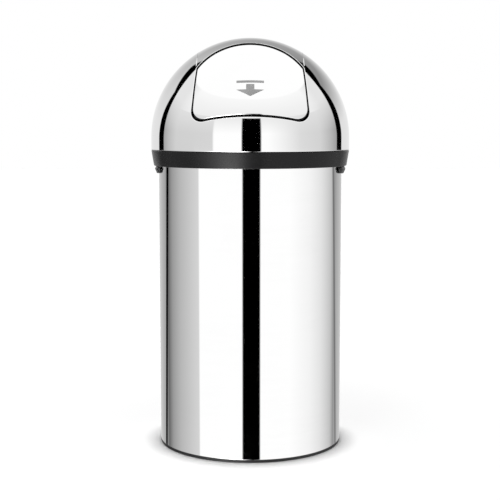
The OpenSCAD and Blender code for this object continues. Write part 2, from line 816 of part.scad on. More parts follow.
module flap_carrier() {
    inset = flap_gap + flap_t + seat_gap;
    corner = flap_corner_r - flap_t - seat_gap;
    back_r = carrier_r - carrier_t;
    post_w = 8;
    ear_to = mouth_side(stop_v, dome_t) + stop_overlap;
    ear_from = mouth_side(stop_v + stop_h, 0) - inset - post_w;
    color([0.20, 0.20, 0.21]) difference() {
        union() {
            intersection() {
                mouth_prism(-inset, corner);
                shell_between(back_r, carrier_r);
            }
            both_sides() {
                intersection() {
                    side_plate(arm_x, arm_out) arm_outline();
                    union() {
                        ball(dome_r - arm_clear);
                        intersection() {
                            mouth_prism(-inset, corner);
                            ball(back_r + carrier_t / 2);
                        }
                    }
                }
                intersection() {
                    along_mouth(cut_from, cut_to) stop_strip(ear_from, ear_to, 0);
                    shell_between(ear_r - ear_thick, ear_r);
                }
                intersection() {
                    along_mouth(cut_from, cut_to) stop_strip(ear_from, ear_from + post_w - 1, 0);
                    shell_between(ear_r - ear_thick, back_r + carrier_t / 2);
                }
            }
        }
        bar_x(-arm_out - 1, arm_out + 1, hinge_y, hinge_z, bush_r + fix_gap / 2);
    }
}

module hinge_bushes() {
    color([0.90, 0.90, 0.86]) both_sides() difference() {
        union() {
            bar_x(arm_x, arm_out, hinge_y, hinge_z, bush_r);
            bar_x(arm_out, arm_out + bush_flange_t, hinge_y, hinge_z, bush_flange_r);
        }
        bar_x(arm_x - 1, arm_out + bush_flange_t + 1, hinge_y, hinge_z, axle_r + run_gap);
    }
}

// One spring as an unbroken tube: a leg beside the flap arm, the turns, a leg
// under the dome. Directions are angles from +Y towards +Z.
spring_sides = 6;
spring_steps = 12;
arm_leg_dir = 197;
dome_leg_dir = 60;
spring_start = arm_leg_dir + 90;
spring_turn = dome_leg_dir - arm_leg_dir - 180 + 360 * (spring_turns + 1);
spring_side_gap = 0.4;
spring_end_gap = 0.6;
spring_x = arm_out + bush_flange_t + spring_side_gap + spring_wire_d / 2;
spring_travel = spring_room - spring_wire_d - spring_side_gap - spring_end_gap;
spring_pitch = spring_travel * 360 / spring_turn;
spring_rings = ceil(spring_steps * spring_turn / 360);
function spring_coil(i) =
    let (a = spring_start + spring_turn * i / spring_rings)
    [spring_x + spring_pitch * (a - spring_start) / 360, spring_r * cos(a), spring_r * sin(a)];
function along(a, l) = [0, l * cos(a), l * sin(a)];
function spring_path() = concat(
    [spring_coil(0) + along(arm_leg_dir, spring_arm_leg)],
    [for (i = [0:spring_rings]) spring_coil(i)],
    [spring_coil(spring_rings) + along(dome_leg_dir, spring_dome_leg)]);

// Ring of points around the path's point i
function spring_dir(p, i) =
    let (d = p[min(i + 1, len(p) - 1)] - p[max(i - 1, 0)]) d / norm(d);
function spring_ring(p, i) =
    let (t = spring_dir(p, i), s = cross(t, [1, 0, 0]), n = s / norm(s), b = cross(t, n))
    [for (k = [0:spring_sides - 1]) let (a = 360 * k / spring_sides)
        p[i] + spring_wire_d / 2 * (cos(a) * n + sin(a) * b)];

module return_spring() {
    path = spring_path();
    count = len(path);
    n = spring_sides;
    points = [for (i = [0:count - 1]) each spring_ring(path, i)];
    sides = [for (i = [0:count - 2]) for (k = [0:n - 1])
        [i * n + k, i * n + (k + 1) % n, (i + 1) * n + (k + 1) % n, (i + 1) * n + k]];
    triangles = [for (q = sides) each [[q[0], q[1], q[2]], [q[0], q[2], q[3]]]];
    caps = [[for (k = [n - 1:-1:0]) k], [for (k = [0:n - 1]) (count - 1) * n + k]];
    translate([0, hinge_y, hinge_z]) polyhedron(points = points, faces = concat(triangles, caps));
}

module return_springs() {
    color([0.68, 0.69, 0.71]) both_sides() return_spring();
}

// Push mark: a bar above a broad arrowhead that points down
module mark_outline() {
    bar_h = mark_h * 0.14;
    shaft_w = mark_w * 0.3;
    head_h = mark_h * 0.42;
    head_top = mark_top - mark_h + head_h;
    space = mark_h * 0.1;
    translate([-mark_w / 2, mark_top - bar_h]) square([mark_w, bar_h]);
    polygon([
        [-shaft_w / 2, mark_top - bar_h - space], [-shaft_w / 2, head_top], [-mark_w / 2, head_top],
        [0, mark_top - mark_h], [mark_w / 2, head_top], [shaft_w / 2, head_top],
        [shaft_w / 2, mark_top - bar_h - space]]);
}

module push_mark() {
    ink_t = 0.2;
    color([0.58, 0.58, 0.60]) intersection() {
        along_mouth(cut_from, cut_to) mark_outline();
        shell_between(dome_r + fix_gap, dome_r + fix_gap + ink_t);
    }
}

body_shell();
body_floor();
base_ring();
top_collar();
grip_left();
grip_right();
grip_rivets();
bucket_wall();
bucket_base();
bail_ears();
ear_rivets();
bail_wire();
bail_grip();
lid_ring();
dome_shell();
ring_screws();
hinge_bracket_left();
hinge_bracket_right();
hinge_axle();
axle_clips();
stop_pads();
flap_panel();
flap_carrier();
hinge_bushes();
return_springs();
push_mark();
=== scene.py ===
"""Push-flap waste bin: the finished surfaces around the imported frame.

Each operator makes one piece, or one group of like pieces, from the sizes in the scene's settings.
All lengths are in metres, the front of the bin faces -Y and the floor is z = 0.
"""
import math

import bmesh
import bpy
import numpy as np
from bpy.props import FloatProperty, FloatVectorProperty, IntProperty, PointerProperty
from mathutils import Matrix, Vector


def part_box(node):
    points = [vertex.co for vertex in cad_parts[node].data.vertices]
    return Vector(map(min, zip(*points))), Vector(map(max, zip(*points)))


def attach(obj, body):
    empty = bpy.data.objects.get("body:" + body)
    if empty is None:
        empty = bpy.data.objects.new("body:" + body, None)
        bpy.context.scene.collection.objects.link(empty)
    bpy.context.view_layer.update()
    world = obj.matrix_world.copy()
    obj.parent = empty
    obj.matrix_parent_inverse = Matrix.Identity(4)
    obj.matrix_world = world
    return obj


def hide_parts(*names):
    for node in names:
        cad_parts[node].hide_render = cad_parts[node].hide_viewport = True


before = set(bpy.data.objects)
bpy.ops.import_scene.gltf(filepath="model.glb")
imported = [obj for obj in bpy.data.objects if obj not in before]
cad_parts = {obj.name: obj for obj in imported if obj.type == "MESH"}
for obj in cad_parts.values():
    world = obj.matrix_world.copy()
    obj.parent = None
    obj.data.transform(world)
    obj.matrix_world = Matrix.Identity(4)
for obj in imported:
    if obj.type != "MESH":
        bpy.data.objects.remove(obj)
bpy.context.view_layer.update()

bl_info = {
    "name": "Push-flap waste bin",
    "version": (1, 0, 0),
    "blender": (4, 5, 0),
    "location": "View3D > Sidebar > Push bin",
    "description": "Makes the finished pieces of a push-flap waste bin around its frame",
    "category": "Object",
}

MM = 0.001
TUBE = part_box("body_shell")
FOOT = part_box("base_ring")
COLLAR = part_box("top_collar")
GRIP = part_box("grip_right")
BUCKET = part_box("bucket_wall")
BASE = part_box("bucket_base")
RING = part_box("lid_ring")
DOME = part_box("dome_shell")
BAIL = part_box("bail_wire")
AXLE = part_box("hinge_axle")
BACK = 90.0           # azimuth of the back, in degrees


# ---------- settings ----------

def length(name, text, value):
    return FloatProperty(name=name, description=text, default=value, unit="LENGTH", precision=4)


def number(name, text, value):
    return FloatProperty(name=name, description=text, default=value)


def turn(name, text, degrees):
    return FloatProperty(name=name, description=text, default=math.radians(degrees), subtype="ANGLE")


def share(name, text, value):
    return FloatProperty(name=name, description=text, default=value, min=0, max=1, subtype="FACTOR")


def colour(name, text, value):
    return FloatVectorProperty(name=name, description=text, default=value, size=3, min=0, max=1,
                               subtype="COLOR")


class BodySizes(bpy.types.PropertyGroup):
    """Sizes of the steel tube, the base ring and the top collar."""
    radius: length("Tube radius", "Outer radius of the steel tube", TUBE[1].x)
    foot: length("Tube foot", "Height of the tube's lower edge", TUBE[0].z)
    top: length("Tube top", "Height of the tube's upper edge", TUBE[1].z)
    sheet: length("Sheet", "Thickness of the steel sheet", 0.7 * MM)
    hem: length("Hem", "Height of the folded hem at the foot", 4 * MM)
    seam_depth: length("Seam depth", "Depth of the ground weld seam at the back", 0.06 * MM)
    seam_width: length("Seam width", "Width of the weld seam", 2.4 * MM)
    tread_width: length("Tread width", "Width of the base ring's tread", 9 * MM)
    tread_drop: length("Tread drop", "Height of the tread above the ring's inner shelf", 1 * MM)
    foot_round: length("Foot rounding", "Radius of the base ring's outer lower edge", 1.2 * MM)
    upstand: length("Upstand", "Thickness of the base ring's upstand", 2.4 * MM)
    fit: length("Fit", "Gap between pieces that are fixed to each other", 0.1 * MM)
    collar_skirt: length("Collar skirt", "Depth of the collar's skirts below the tube's edge", 5 * MM)
    collar_wall: length("Collar wall", "Thickness of the collar's outer skirt", 2.7 * MM)
    collar_inner: length("Collar inner wall", "Thickness of the collar's inner skirt", 3 * MM)
    channel: length("Collar channel", "Gap between the collar's channel and the tube", 0.3 * MM)
    ledge: length("Ledge", "Thickness of the ledge that carries the bucket", 4 * MM)
    ledge_radius: length("Ledge radius", "Inner radius of the ledge", 155.8 * MM)


class GripSizes(bpy.types.PropertyGroup):
    """Sizes of the two hand grips."""
    half_angle: turn("Half angle", "Half of the angle that each grip spans", 17)
    forward: turn("Forward turn", "How far each grip is turned towards the front", 2.5)
    aside: turn("Side turn", "How far both grips are turned clockwise, seen from above", 1.8)
    flange: length("Flange", "Thickness of the fixing flange", 2.2 * MM)
    end_round: length("End rounding", "Length of the rounded nose at each end", 7 * MM)
    end_rise: share("End rise", "Part of the depth by which the lower edge rises at the ends", 0.16)


class BucketSizes(bpy.types.PropertyGroup):
    """Sizes of the lift-out bucket and its carrying bail."""
    low_radius: length("Foot radius", "Outer radius of the bucket at its foot", 140 * MM)
    top_radius: length("Rim radius", "Outer radius of the bucket's wall at its rim", 154.3 * MM)
    sheet: length("Sheet", "Thickness of the bucket's sheet", 0.6 * MM)
    curl: length("Curl", "Radius of the rolled rim", 3.2 * MM)
    bead: length("Bead", "Height of the stiffening beads", 1.2 * MM)
    bead_half: length("Bead half width", "Half of the width of a stiffening bead", 4 * MM)
    vents: IntProperty(name="Vents", description="Number of vent holes", default=8, min=4, max=12)
    vent_radius: length("Vent radius", "Radius of each vent hole", 4 * MM)
    vent_rise: length("Vent rise", "Height of the vent holes above the bucket's base", 30 * MM)
    wire: length("Bail wire", "Radius of the bail's wire", 2.5 * MM)
    sleeve: length("Sleeve", "Radius of the sleeve on the bail", 4.5 * MM)
    sleeve_length: length("Sleeve length", "Length of the sleeve on the bail", 110 * MM)
    ribs: IntProperty(name="Ribs", description="Number of finger ribs on the sleeve", default=16, min=4)


class LidSizes(bpy.types.PropertyGroup):
    """Sizes of the lid ring and the dome."""
    ring_top: length("Ring top", "Height of the lid ring's outer top edge", RING[1].z - 0.7 * MM)
    taper: length("Taper", "How much the ring's radius shrinks downwards", 4.5 * MM)
    wall: length("Wall", "Wall of the lid ring", 3 * MM)
    low_round: length("Lower rounding", "Radius of the ring's lower outer edge", 1.5 * MM)
    lip_round: length("Lip rounding", "Radius of the ring's upper outer edge", 0.8 * MM)
    groove: length("Groove", "Depth of the shadow groove under the dome", 1.4 * MM)
    plate: length("Plate", "Thickness of the ring's top plate", 3 * MM)
    rib_radius: length("Rib radius", "Inner radius of the seat rib", 164.1 * MM)
    rib: length("Rib", "Width of the seat rib", 2.5 * MM)
    seat: length("Seat", "Height of the seat rib's lower face", 523.9 * MM)
    skirt_radius: length("Skirt radius", "Inner radius of the locating skirt", 168.6 * MM)
    skirt: length("Skirt", "Wall of the locating skirt", 1.8 * MM)
    skirt_low: length("Skirt foot", "Height of the locating skirt's lower edge", 511.6 * MM)
    screws: IntProperty(name="Screws", description="Number of ring screws", default=6, min=3)
    screw_circle: length("Screw circle", "Distance of the screws from the middle", 172.6 * MM)
    boss: length("Boss", "Outer radius of a screw boss", 3.95 * MM)
    bore: length("Bore", "Radius of a screw's hole", 1.85 * MM)
    boss_low: length("Boss foot", "Height of the bosses' lower ends", 520.4 * MM)
    dome_sheet: length("Dome sheet", "Thickness of the dome's sheet", 0.8 * MM)
    dome_skirt: length("Dome skirt", "Height of the straight skirt below the half sphere", 20.9 * MM)
    dome_flange: length("Dome flange", "Width of the flange turned in at the dome's foot", 15 * MM)
    foot_round: length("Dome foot rounding", "Radius of the bend into the dome's flange", 1.3 * MM)


class MouthSizes(bpy.types.PropertyGroup):
    """Sizes of the dome's mouth and of the flap that closes it."""
    tilt: turn("Tilt", "Angle of the mouth's cutting direction above the horizontal", 25)
    low: length("Lower edge", "Lower edge from the dome's centre, square to the cutting direction",
                -38.5 * MM)
    high: length("Top", "Top of the arch from the dome's centre", 121.4 * MM)
    width: length("Width", "Width along the lower edge", 201.6 * MM)
    lean: turn("Lean", "Angle at which the sides lean in", 4.6)
    arch: length("Arch", "Radius of the arched top", 108.5 * MM)
    corner: length("Mouth corner", "Radius of the mouth's lower corners", 21 * MM)
    shoulder: length("Shoulder", "Radius of the mouth's upper corners", 7 * MM)
    bend: length("Mouth bend", "Reach of the bend at the mouth's lower edge", 2.4 * MM)
    bend_top: length("Arch bend", "Reach of the bend at the top of the arch", 1.1 * MM)
    edge: length("Mouth edge", "Depth of the edge turned in around the mouth", 4 * MM)
    gap: length("Flap gap", "Gap between the flap and the mouth", 2.3 * MM)
    arch_gap: length("Arch gap", "Gap above the flap, under the arch", 7.5 * MM)
    low_gap: length("Lower gap", "Gap under the flap", 3.1 * MM)
    flap_corner: length("Flap corner", "Radius of the flap's lower corners", 21.5 * MM)
    flap_sheet: length("Flap sheet", "Thickness of the flap's sheet", 0.8 * MM)
    flap_bend: length("Flap bend", "Radius of the bend around the flap", 1 * MM)
    flap_rim: length("Flap rim", "Depth of the flap's turned-in edge", 7 * MM)
    crease: length("Crease", "Radius of the creases above the mouth's upper corners", 1.3 * MM)
    crease_end: FloatProperty(name="Crease end", description="Degrees behind the top where they fade",
                              default=22)


class SpringSizes(bpy.types.PropertyGroup):
    """Sizes of the two return springs."""
    wire: length("Wire", "Radius of the spring wire", 0.8 * MM)
    turns: IntProperty(name="Turns", description="Number of turns", default=5, min=2)
    coil: length("Coil", "Radius of the coil's centre line", 4.3 * MM)
    arm_leg: length("Arm leg", "Length of the leg beside the flap's arm", 16 * MM)
    dome_leg: length("Dome leg", "Length of the leg that bears on the dome", 18.2 * MM)
    start: length("Start", "Distance of the first turn from the middle", 47.2 * MM)
    travel: length("Travel", "Width that the turns take up", 11.4 * MM)


class Finishes(bpy.types.PropertyGroup):
    """Colours of the finishes."""
    steel: colour("Steel", "Polished stainless steel", (0.82, 0.82, 0.82))
    # inner: dull steel inside the dome and the flap. It is also made dark on the turned-in edges round the
    # mouth, so the gap round the flap shows black: painted shade in the gap.
    inner: colour("Inner steel", "Unpolished steel inside the dome and the flap", (0.20, 0.20, 0.20))
    ring: colour("Ring plastic", "Anthracite plastic of the lid ring", (0.006, 0.006, 0.0063))
    black: colour("Black plastic", "Black plastic of collar, grips and carrier", (0.012, 0.012, 0.0125))
    galvanised: colour("Galvanised", "Galvanised sheet of bucket and floor", (0.52, 0.54, 0.56))
    zinc: colour("Zinc", "Zinc-plated wire, rivets and screws", (0.66, 0.67, 0.69))
    rubber: colour("Rubber", "Rubber of the stop pads", (0.025, 0.025, 0.025))
    acetal: colour("Acetal", "Natural plastic of the hinge bushes", (0.80, 0.79, 0.72))
    ink: colour("Ink", "Grey print of the push mark", (0.30, 0.30, 0.30))


class StudioSettings(bpy.types.PropertyGroup):
    """Camera, floor and lamps."""
    distance: length("Distance", "Distance of the camera in front of the bin", 2.1079)
    height: length("Height", "Height of the camera", 0.5858)
    aside: length("Aside", "Sideways place of the camera", -0.0004)
    dip: turn("Dip", "Angle at which the camera looks down", 6.367)
    lens: number("Lens", "Focal length in millimetres", 83.51)
    floor: colour("Floor", "Colour of the floor", (0.86, 0.86, 0.86))
    fill: number("Fill", "Strength of the even studio light", 0.4)
    key: number("Key", "Strength of the left softbox", 2.5)
    overhead: number("Overhead", "Strength of the light from overhead", 2.05)
    # the glow is weaker near the bin, which paints a soft shade on the floor round the foot
    floor_glow: number("Floor glow", "Glow of the far floor, for the camera alone", 0.14)
    pool: number("Floor pool", "Light of the bright floor at the front left", 6.5)
    flag_lean: number("Flag lean", "Lean of the side flags, in degrees a degree", 0.65)
    frame_half: number("Frame width", "Half width of the backdrop's black frame", 1.655)
    frame_top: number("Frame top", "Height of the frame's top", 1.2)
    frame_round: number("Frame corner", "Radius of the frame's corners", 0.3)
    frame_wide: number("Frame line", "Half width of the frame's line", 0.345)
    frame_lean: number("Frame lean", "How far the frame's sides come in below", 0.12)
    frame_turn: number("Frame turn", "How far the frame rises to the right", 0.07)


class PushBinSettings(bpy.types.PropertyGroup):
    """All settings of the push bin."""
    body: PointerProperty(type=BodySizes)
    grips: PointerProperty(type=GripSizes)
    bucket: PointerProperty(type=BucketSizes)
    lid: PointerProperty(type=LidSizes)
    mouth: PointerProperty(type=MouthSizes)
    springs: PointerProperty(type=SpringSizes)
    finishes: PointerProperty(type=Finishes)
    studio: PointerProperty(type=StudioSettings)


# ---------- mesh tools ----------

def unit(v):
    return v / np.linalg.norm(v, axis=-1, keepdims=True)


def azimuths(count):
    """Even azimuths round the axis, in degrees."""
    return np.linspace(0, 360, count, endpoint=False)


def section(corners, closed=True, step=math.radians(12)):
    """Runs of (r, z, normal r, normal z) along a section drawn anticlockwise.

    A corner is (r, z, fillet radius); the ends of an open section have none.
    """
    count = len(corners)
    cuts = []
    for i, (r, z, fillet) in enumerate(corners):
        here = np.array((r, z))
        if fillet == 0 or (not closed and i in (0, count - 1)):
            cuts.append((here, here, None, 0, 0))
            continue
        back = unit(np.array(corners[i - 1][:2]) - here)
        ahead = unit(np.array(corners[(i + 1) % count][:2]) - here)
        half = math.acos(np.clip(back @ ahead, -1, 1)) / 2
        reach = fillet / math.tan(half)
        centre = here + unit(back + ahead) * fillet / math.sin(half)
        left_turn = 1 if ahead[0] * back[1] - ahead[1] * back[0] > 0 else -1
        cuts.append((here + back * reach, here + ahead * reach, centre, math.pi - 2 * half, left_turn))
    runs = []
    for i, (start, end, centre, sweep, left_turn) in enumerate(cuts):
        if centre is not None:
            steps = max(2, math.ceil(sweep / step))
            first = math.atan2(*(start - centre)[::-1])
            angles = first + left_turn * sweep * np.arange(steps + 1) / steps
            out = np.stack((np.cos(angles), np.sin(angles)), 1)
            size = np.linalg.norm(start - centre)
            runs.append(np.hstack((centre + size * out, left_turn * out)))
        if closed or i < count - 1:
            after = cuts[(i + 1) % count][0]
            if np.linalg.norm(after - end) > 1e-7:
                along = unit(after - end)
                face = np.array((along[1], -along[0]))
                runs.append(np.array([[*end, *face], [*after, *face]]))
    return runs


def lathe_runs(corners, angles=None, closed=True, dent=None):
    """Runs of rings for a section turned round the Z axis; dent(angle) gives a depth and a tilt."""
    angles = np.linspace(0, 360, 256, endpoint=False) if angles is None else np.array(angles)
    a = np.radians(angles)
    depth, tilt = (np.zeros_like(a), np.zeros_like(a)) if dent is None else dent(angles)
    runs = []
    for run in section(corners, closed):
        r, z, nr, nz = (run[:, k][:, None] for k in range(4))
        radius = r - depth * nr
        points = np.stack((radius * np.cos(a), radius * np.sin(a), z + 0 * a), -1)
        normals = np.stack((nr * np.cos(a + tilt), nr * np.sin(a + tilt), nz + 0 * a), -1)
        runs.append((points, unit(normals)))
    return runs


def grid_mesh(name, runs, closed=True, wrap=True, shaded=True):
    """A mesh of quads through rings of points. A run is (points, normals), each ring by column.

    closed joins the last ring to the first, and wrap joins the last column to the first.
    A ring whose points all coincide becomes one point. A third value in a run is its material's number.
    """
    points, faces, corner_normals, finishes = [], [], [], []
    first = row = None
    columns = runs[0][0].shape[1]

    def add(ring):
        if np.ptp(ring, axis=0).max() < 1e-8:
            points.append(ring[0])
            return [len(points) - 1] * columns
        points.extend(ring)
        return list(range(len(points) - columns, len(points)))

    for number, (rings, normals, *coat) in enumerate(runs):
        for k, ring in enumerate(rings):
            before = row
            if k == 0 and row is not None:
                continue
            last = number == len(runs) - 1 and k == len(rings) - 1
            row = first if closed and last else add(ring)
            if first is None:
                first = row
                continue
            if k == 0:
                continue
            for i in range(columns if wrap else columns - 1):
                j = (i + 1) % columns
                quad = [(before[i], normals[k - 1][i]), (before[j], normals[k - 1][j]),
                        (row[j], normals[k][j]), (row[i], normals[k][i])]
                seen = set()
                quad = [q for q in quad if not (q[0] in seen or seen.add(q[0]))]
                if len(quad) > 2:
                    faces.append([q[0] for q in quad])
                    finishes.append(coat[0] if coat else 0)
                    corner_normals.extend(q[1] for q in quad)
    mesh = bpy.data.meshes.new(name)
    mesh.from_pydata([tuple(p) for p in points], [], faces)
    mesh.polygons.foreach_set("material_index", finishes)
    probe = mesh.polygons[len(mesh.polygons) // 2]
    outward = sum((Vector(corner_normals[i]) for i in probe.loop_indices), Vector())
    if probe.normal.dot(outward) < 0:
        mesh.flip_normals()
        ordered = []
        start = 0
        for face in faces:
            part = corner_normals[start:start + len(face)]
            ordered.extend([part[0], *part[:0:-1]])
            start += len(face)
        corner_normals = ordered
    mesh.shade_smooth()
    if shaded:
        mesh.normals_split_custom_set([tuple(n) for n in corner_normals])
    return mesh


def smooth_edges(mesh, degrees=35):
    """Smooth shading with sharp edges where faces meet at more than the angle."""
    mesh.shade_smooth()
    mesh.set_sharp_from_angle(angle=math.radians(degrees))


def add_piece(name, mesh, body, materials, replaces=()):
    piece = bpy.data.objects.new(name, mesh)
    bpy.context.scene.collection.objects.link(piece)
    numbers = [p.material_index for p in mesh.polygons]
    mesh.materials.clear()
    for material in materials if isinstance(materials, tuple) else (materials,):
        mesh.materials.append(material)
    mesh.polygons.foreach_set("material_index", numbers)
    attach(piece, body)
    if replaces:
        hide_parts(*replaces)
    return piece


def joined(name, meshes):
    """One mesh from several."""
    made = bmesh.new()
    for mesh in meshes:
        made.from_mesh(mesh)
        bpy.data.meshes.remove(mesh)
    whole = bpy.data.meshes.new(name)
    made.to_mesh(whole)
    made.free()
    return whole


def cut_holes(mesh, cutter):
    """The mesh without the space of the cutter's closed shells."""
    whole = bpy.data.objects.new("whole", mesh)
    tool = bpy.data.objects.new("tool", cutter)
    for o in (whole, tool):
        bpy.context.scene.collection.objects.link(o)
    cut = whole.modifiers.new("cut", "BOOLEAN")
    cut.operation, cut.solver, cut.object = "DIFFERENCE", "EXACT", tool
    result = bpy.data.meshes.new_from_object(whole.evaluated_get(bpy.context.evaluated_depsgraph_get()))
    for o in (whole, tool):
        bpy.data.objects.remove(o)
    return result


def tube_pair(name, path, radii, centre=(0, 0, 0)):
    """One mesh of a tube at the right and its mirror image at the left."""
    halves = [grid_mesh(name, tube_runs(path * (side, 1, 1) + centre, radii, 12), closed=False,
                        shaded=False) for side in (1, -1)]
    return joined(name, halves)


def tube_runs(path, radii, sides=16):
    """Rings of a round tube along a path, closed to a point at both ends; radii has one value a point."""
    path = np.array(path, float)
    along = unit(np.gradient(path, axis=0))
    side = unit(np.cross(along[0], (0.3, 0.5, 0.8)))
    rings, normals = [], []
    a = np.linspace(0, 2 * math.pi, sides, endpoint=False)
    for p, t, r in zip(path, along, radii):
        side = unit(side - (side @ t) * t)
        over = np.cross(t, side)
        out = np.cos(a)[:, None] * side + np.sin(a)[:, None] * over
        rings.append(p + max(r, 0) * out)
        normals.append(out)
    return [(np.array(rings), np.array(normals))]


# ---------- shader tools ----------

def add_node(tree, kind, **settings):
    made = tree.nodes.new(kind)
    for key, value in settings.items():
        setattr(made, key, value)
    return made


def feed(tree, socket, value):
    """Links a socket to another, or sets its value."""
    if isinstance(value, bpy.types.NodeSocket):
        tree.links.new(value, socket)
    else:
        socket.default_value = value


def calc(tree, operation, *values):
    made = add_node(tree, "ShaderNodeMath", operation=operation)
    for socket, value in zip(made.inputs, values):
        feed(tree, socket, value)
    return made.outputs[0]


def remap(tree, value, low, high, to_low=0.0, to_high=1.0, smooth=False):
    made = add_node(tree, "ShaderNodeMapRange", clamp=True)
    made.interpolation_type = "SMOOTHSTEP" if smooth else "LINEAR"
    for socket, number in zip(made.inputs, (value, low, high, to_low, to_high)):
        feed(tree, socket, number)
    return made.outputs[0]


def mix_colour(tree, factor, a, b):
    made = add_node(tree, "ShaderNodeMix", data_type="RGBA")
    feed(tree, made.inputs["Factor"], factor)
    for name, value in (("A", a), ("B", b)):
        socket = next(s for s in made.inputs if s.name == name and s.type == "RGBA")
        feed(tree, socket, value if isinstance(value, bpy.types.NodeSocket) else (*value, 1.0))
    return next(s for s in made.outputs if s.type == "RGBA")


def noise(tree, place, scale, detail=4.0, roughness=0.5):
    made = add_node(tree, "ShaderNodeTexNoise")
    feed(tree, made.inputs["Vector"], place)
    for name, value in (("Scale", scale), ("Detail", detail), ("Roughness", roughness)):
        feed(tree, made.inputs[name], value)
    return made.outputs["Fac"]


def stretched(tree, place, scale):
    made = add_node(tree, "ShaderNodeMapping")
    feed(tree, made.inputs["Vector"], place)
    made.inputs["Scale"].default_value = scale
    return made.outputs["Vector"]


def new_group(name, inputs, outputs):
    """A shader node group with float or colour inputs and outputs, and its input and output nodes."""
    group = bpy.data.node_groups.new(name, "ShaderNodeTree")
    kinds = {"float": "NodeSocketFloat", "colour": "NodeSocketColor"}
    for label, kind, value in inputs:
        socket = group.interface.new_socket(name=label, in_out="INPUT", socket_type=kinds[kind])
        socket.default_value = value if kind == "float" else (*value, 1.0)
    for label, kind in outputs:
        group.interface.new_socket(name=label, in_out="OUTPUT", socket_type=kinds[kind])
    return group, add_node(group, "NodeGroupInput").outputs, add_node(group, "NodeGroupOutput").inputs


def polish_group():
    """Hand-polished metal: faint haze, wiped streaks and hairlines."""
    group, given, out = new_group(
        "polish", [("Colour", "colour", (0.9, 0.9, 0.9)), ("Haze", "float", 0.03),
                   ("Roughness", "float", 0.04)],
        [("Colour", "colour"), ("Roughness", "float"), ("Height", "float")])
    place = add_node(group, "ShaderNodeTexCoord").outputs["Object"]
    cloud = noise(group, place, 9.0, 6.0, 0.62)
    wiped = noise(group, stretched(group, place, (14, 14, 90)), 1.0, 5.0, 0.6)
    hair = noise(group, stretched(group, place, (90, 90, 2600)), 1.0, 2.0, 0.5)
    smear = calc(group, "MULTIPLY", remap(group, cloud, 0.42, 0.72), remap(group, wiped, 0.35, 0.8))
    dull = calc(group, "MULTIPLY", smear, given["Haze"])
    feed(group, out["Roughness"], calc(group, "ADD", given["Roughness"], dull))
    scaled = add_node(group, "ShaderNodeVectorMath", operation="SCALE")
    feed(group, scaled.inputs[0], given["Colour"])
    feed(group, scaled.inputs["Scale"], calc(group, "SUBTRACT", 1.0, calc(group, "MULTIPLY", smear, 0.03)))
    feed(group, out["Colour"], scaled.outputs[0])
    feed(group, out["Height"], hair)
    return group


def grain_group():
    """Moulded plastic: fine spark-eroded grain, cloudy tone and a light rub."""
    group, given, out = new_group(
        "moulded_grain", [("Colour", "colour", (0.03, 0.03, 0.03)), ("Roughness", "float", 0.45),
                          ("Grain", "float", 2200.0)],
        [("Colour", "colour"), ("Roughness", "float"), ("Height", "float")])
    place = add_node(group, "ShaderNodeTexCoord").outputs["Object"]
    cloud = noise(group, place, 26.0, 5.0, 0.6)
    grain = noise(group, place, given["Grain"], 2.0, 0.6)
    lighter = add_node(group, "ShaderNodeVectorMath", operation="SCALE")
    feed(group, lighter.inputs[0], given["Colour"])
    lighter.inputs["Scale"].default_value = 1.35
    tone = mix_colour(group, remap(group, cloud, 0.35, 0.75), given["Colour"], lighter.outputs[0])
    feed(group, out["Colour"], tone)
    shift = remap(group, cloud, 0.3, 0.7, -0.05, 0.06)
    feed(group, out["Roughness"], calc(group, "ADD", given["Roughness"], shift))
    feed(group, out["Height"], grain)
    return group


def zinc_group():
    """Zinc on steel: crystal spangle of a chosen scale, with cloudy dullness."""
    group, given, out = new_group(
        "zinc_spangle", [("Colour", "colour", (0.6, 0.6, 0.6)), ("Roughness", "float", 0.35),
                         ("Spangle", "float", 90.0), ("Contrast", "float", 0.25)],
        [("Colour", "colour"), ("Roughness", "float"), ("Height", "float")])
    place = add_node(group, "ShaderNodeTexCoord").outputs["Object"]
    cells = add_node(group, "ShaderNodeTexVoronoi")
    feed(group, cells.inputs["Vector"], place)
    feed(group, cells.inputs["Scale"], given["Spangle"])
    tint = add_node(group, "ShaderNodeSeparateColor")
    feed(group, tint.inputs[0], cells.outputs["Color"])
    cloud = noise(group, place, 18.0, 5.0, 0.6)
    shade = calc(group, "MULTIPLY", calc(group, "SUBTRACT", tint.outputs[0], 0.5), given["Contrast"])
    scaled = add_node(group, "ShaderNodeVectorMath", operation="SCALE")
    feed(group, scaled.inputs[0], given["Colour"])
    level = calc(group, "ADD", calc(group, "ADD", 1.0, shade), remap(group, cloud, 0.3, 0.7, -0.08, 0.08))
    feed(group, scaled.inputs["Scale"], level)
    feed(group, out["Colour"], scaled.outputs[0])
    rough = calc(group, "ADD", given["Roughness"], calc(group, "MULTIPLY", shade, 0.6))
    feed(group, out["Roughness"], calc(group, "ADD", rough, remap(group, cloud, 0.3, 0.7, -0.04, 0.06)))
    feed(group, out["Height"], cells.outputs["Distance"])
    return group


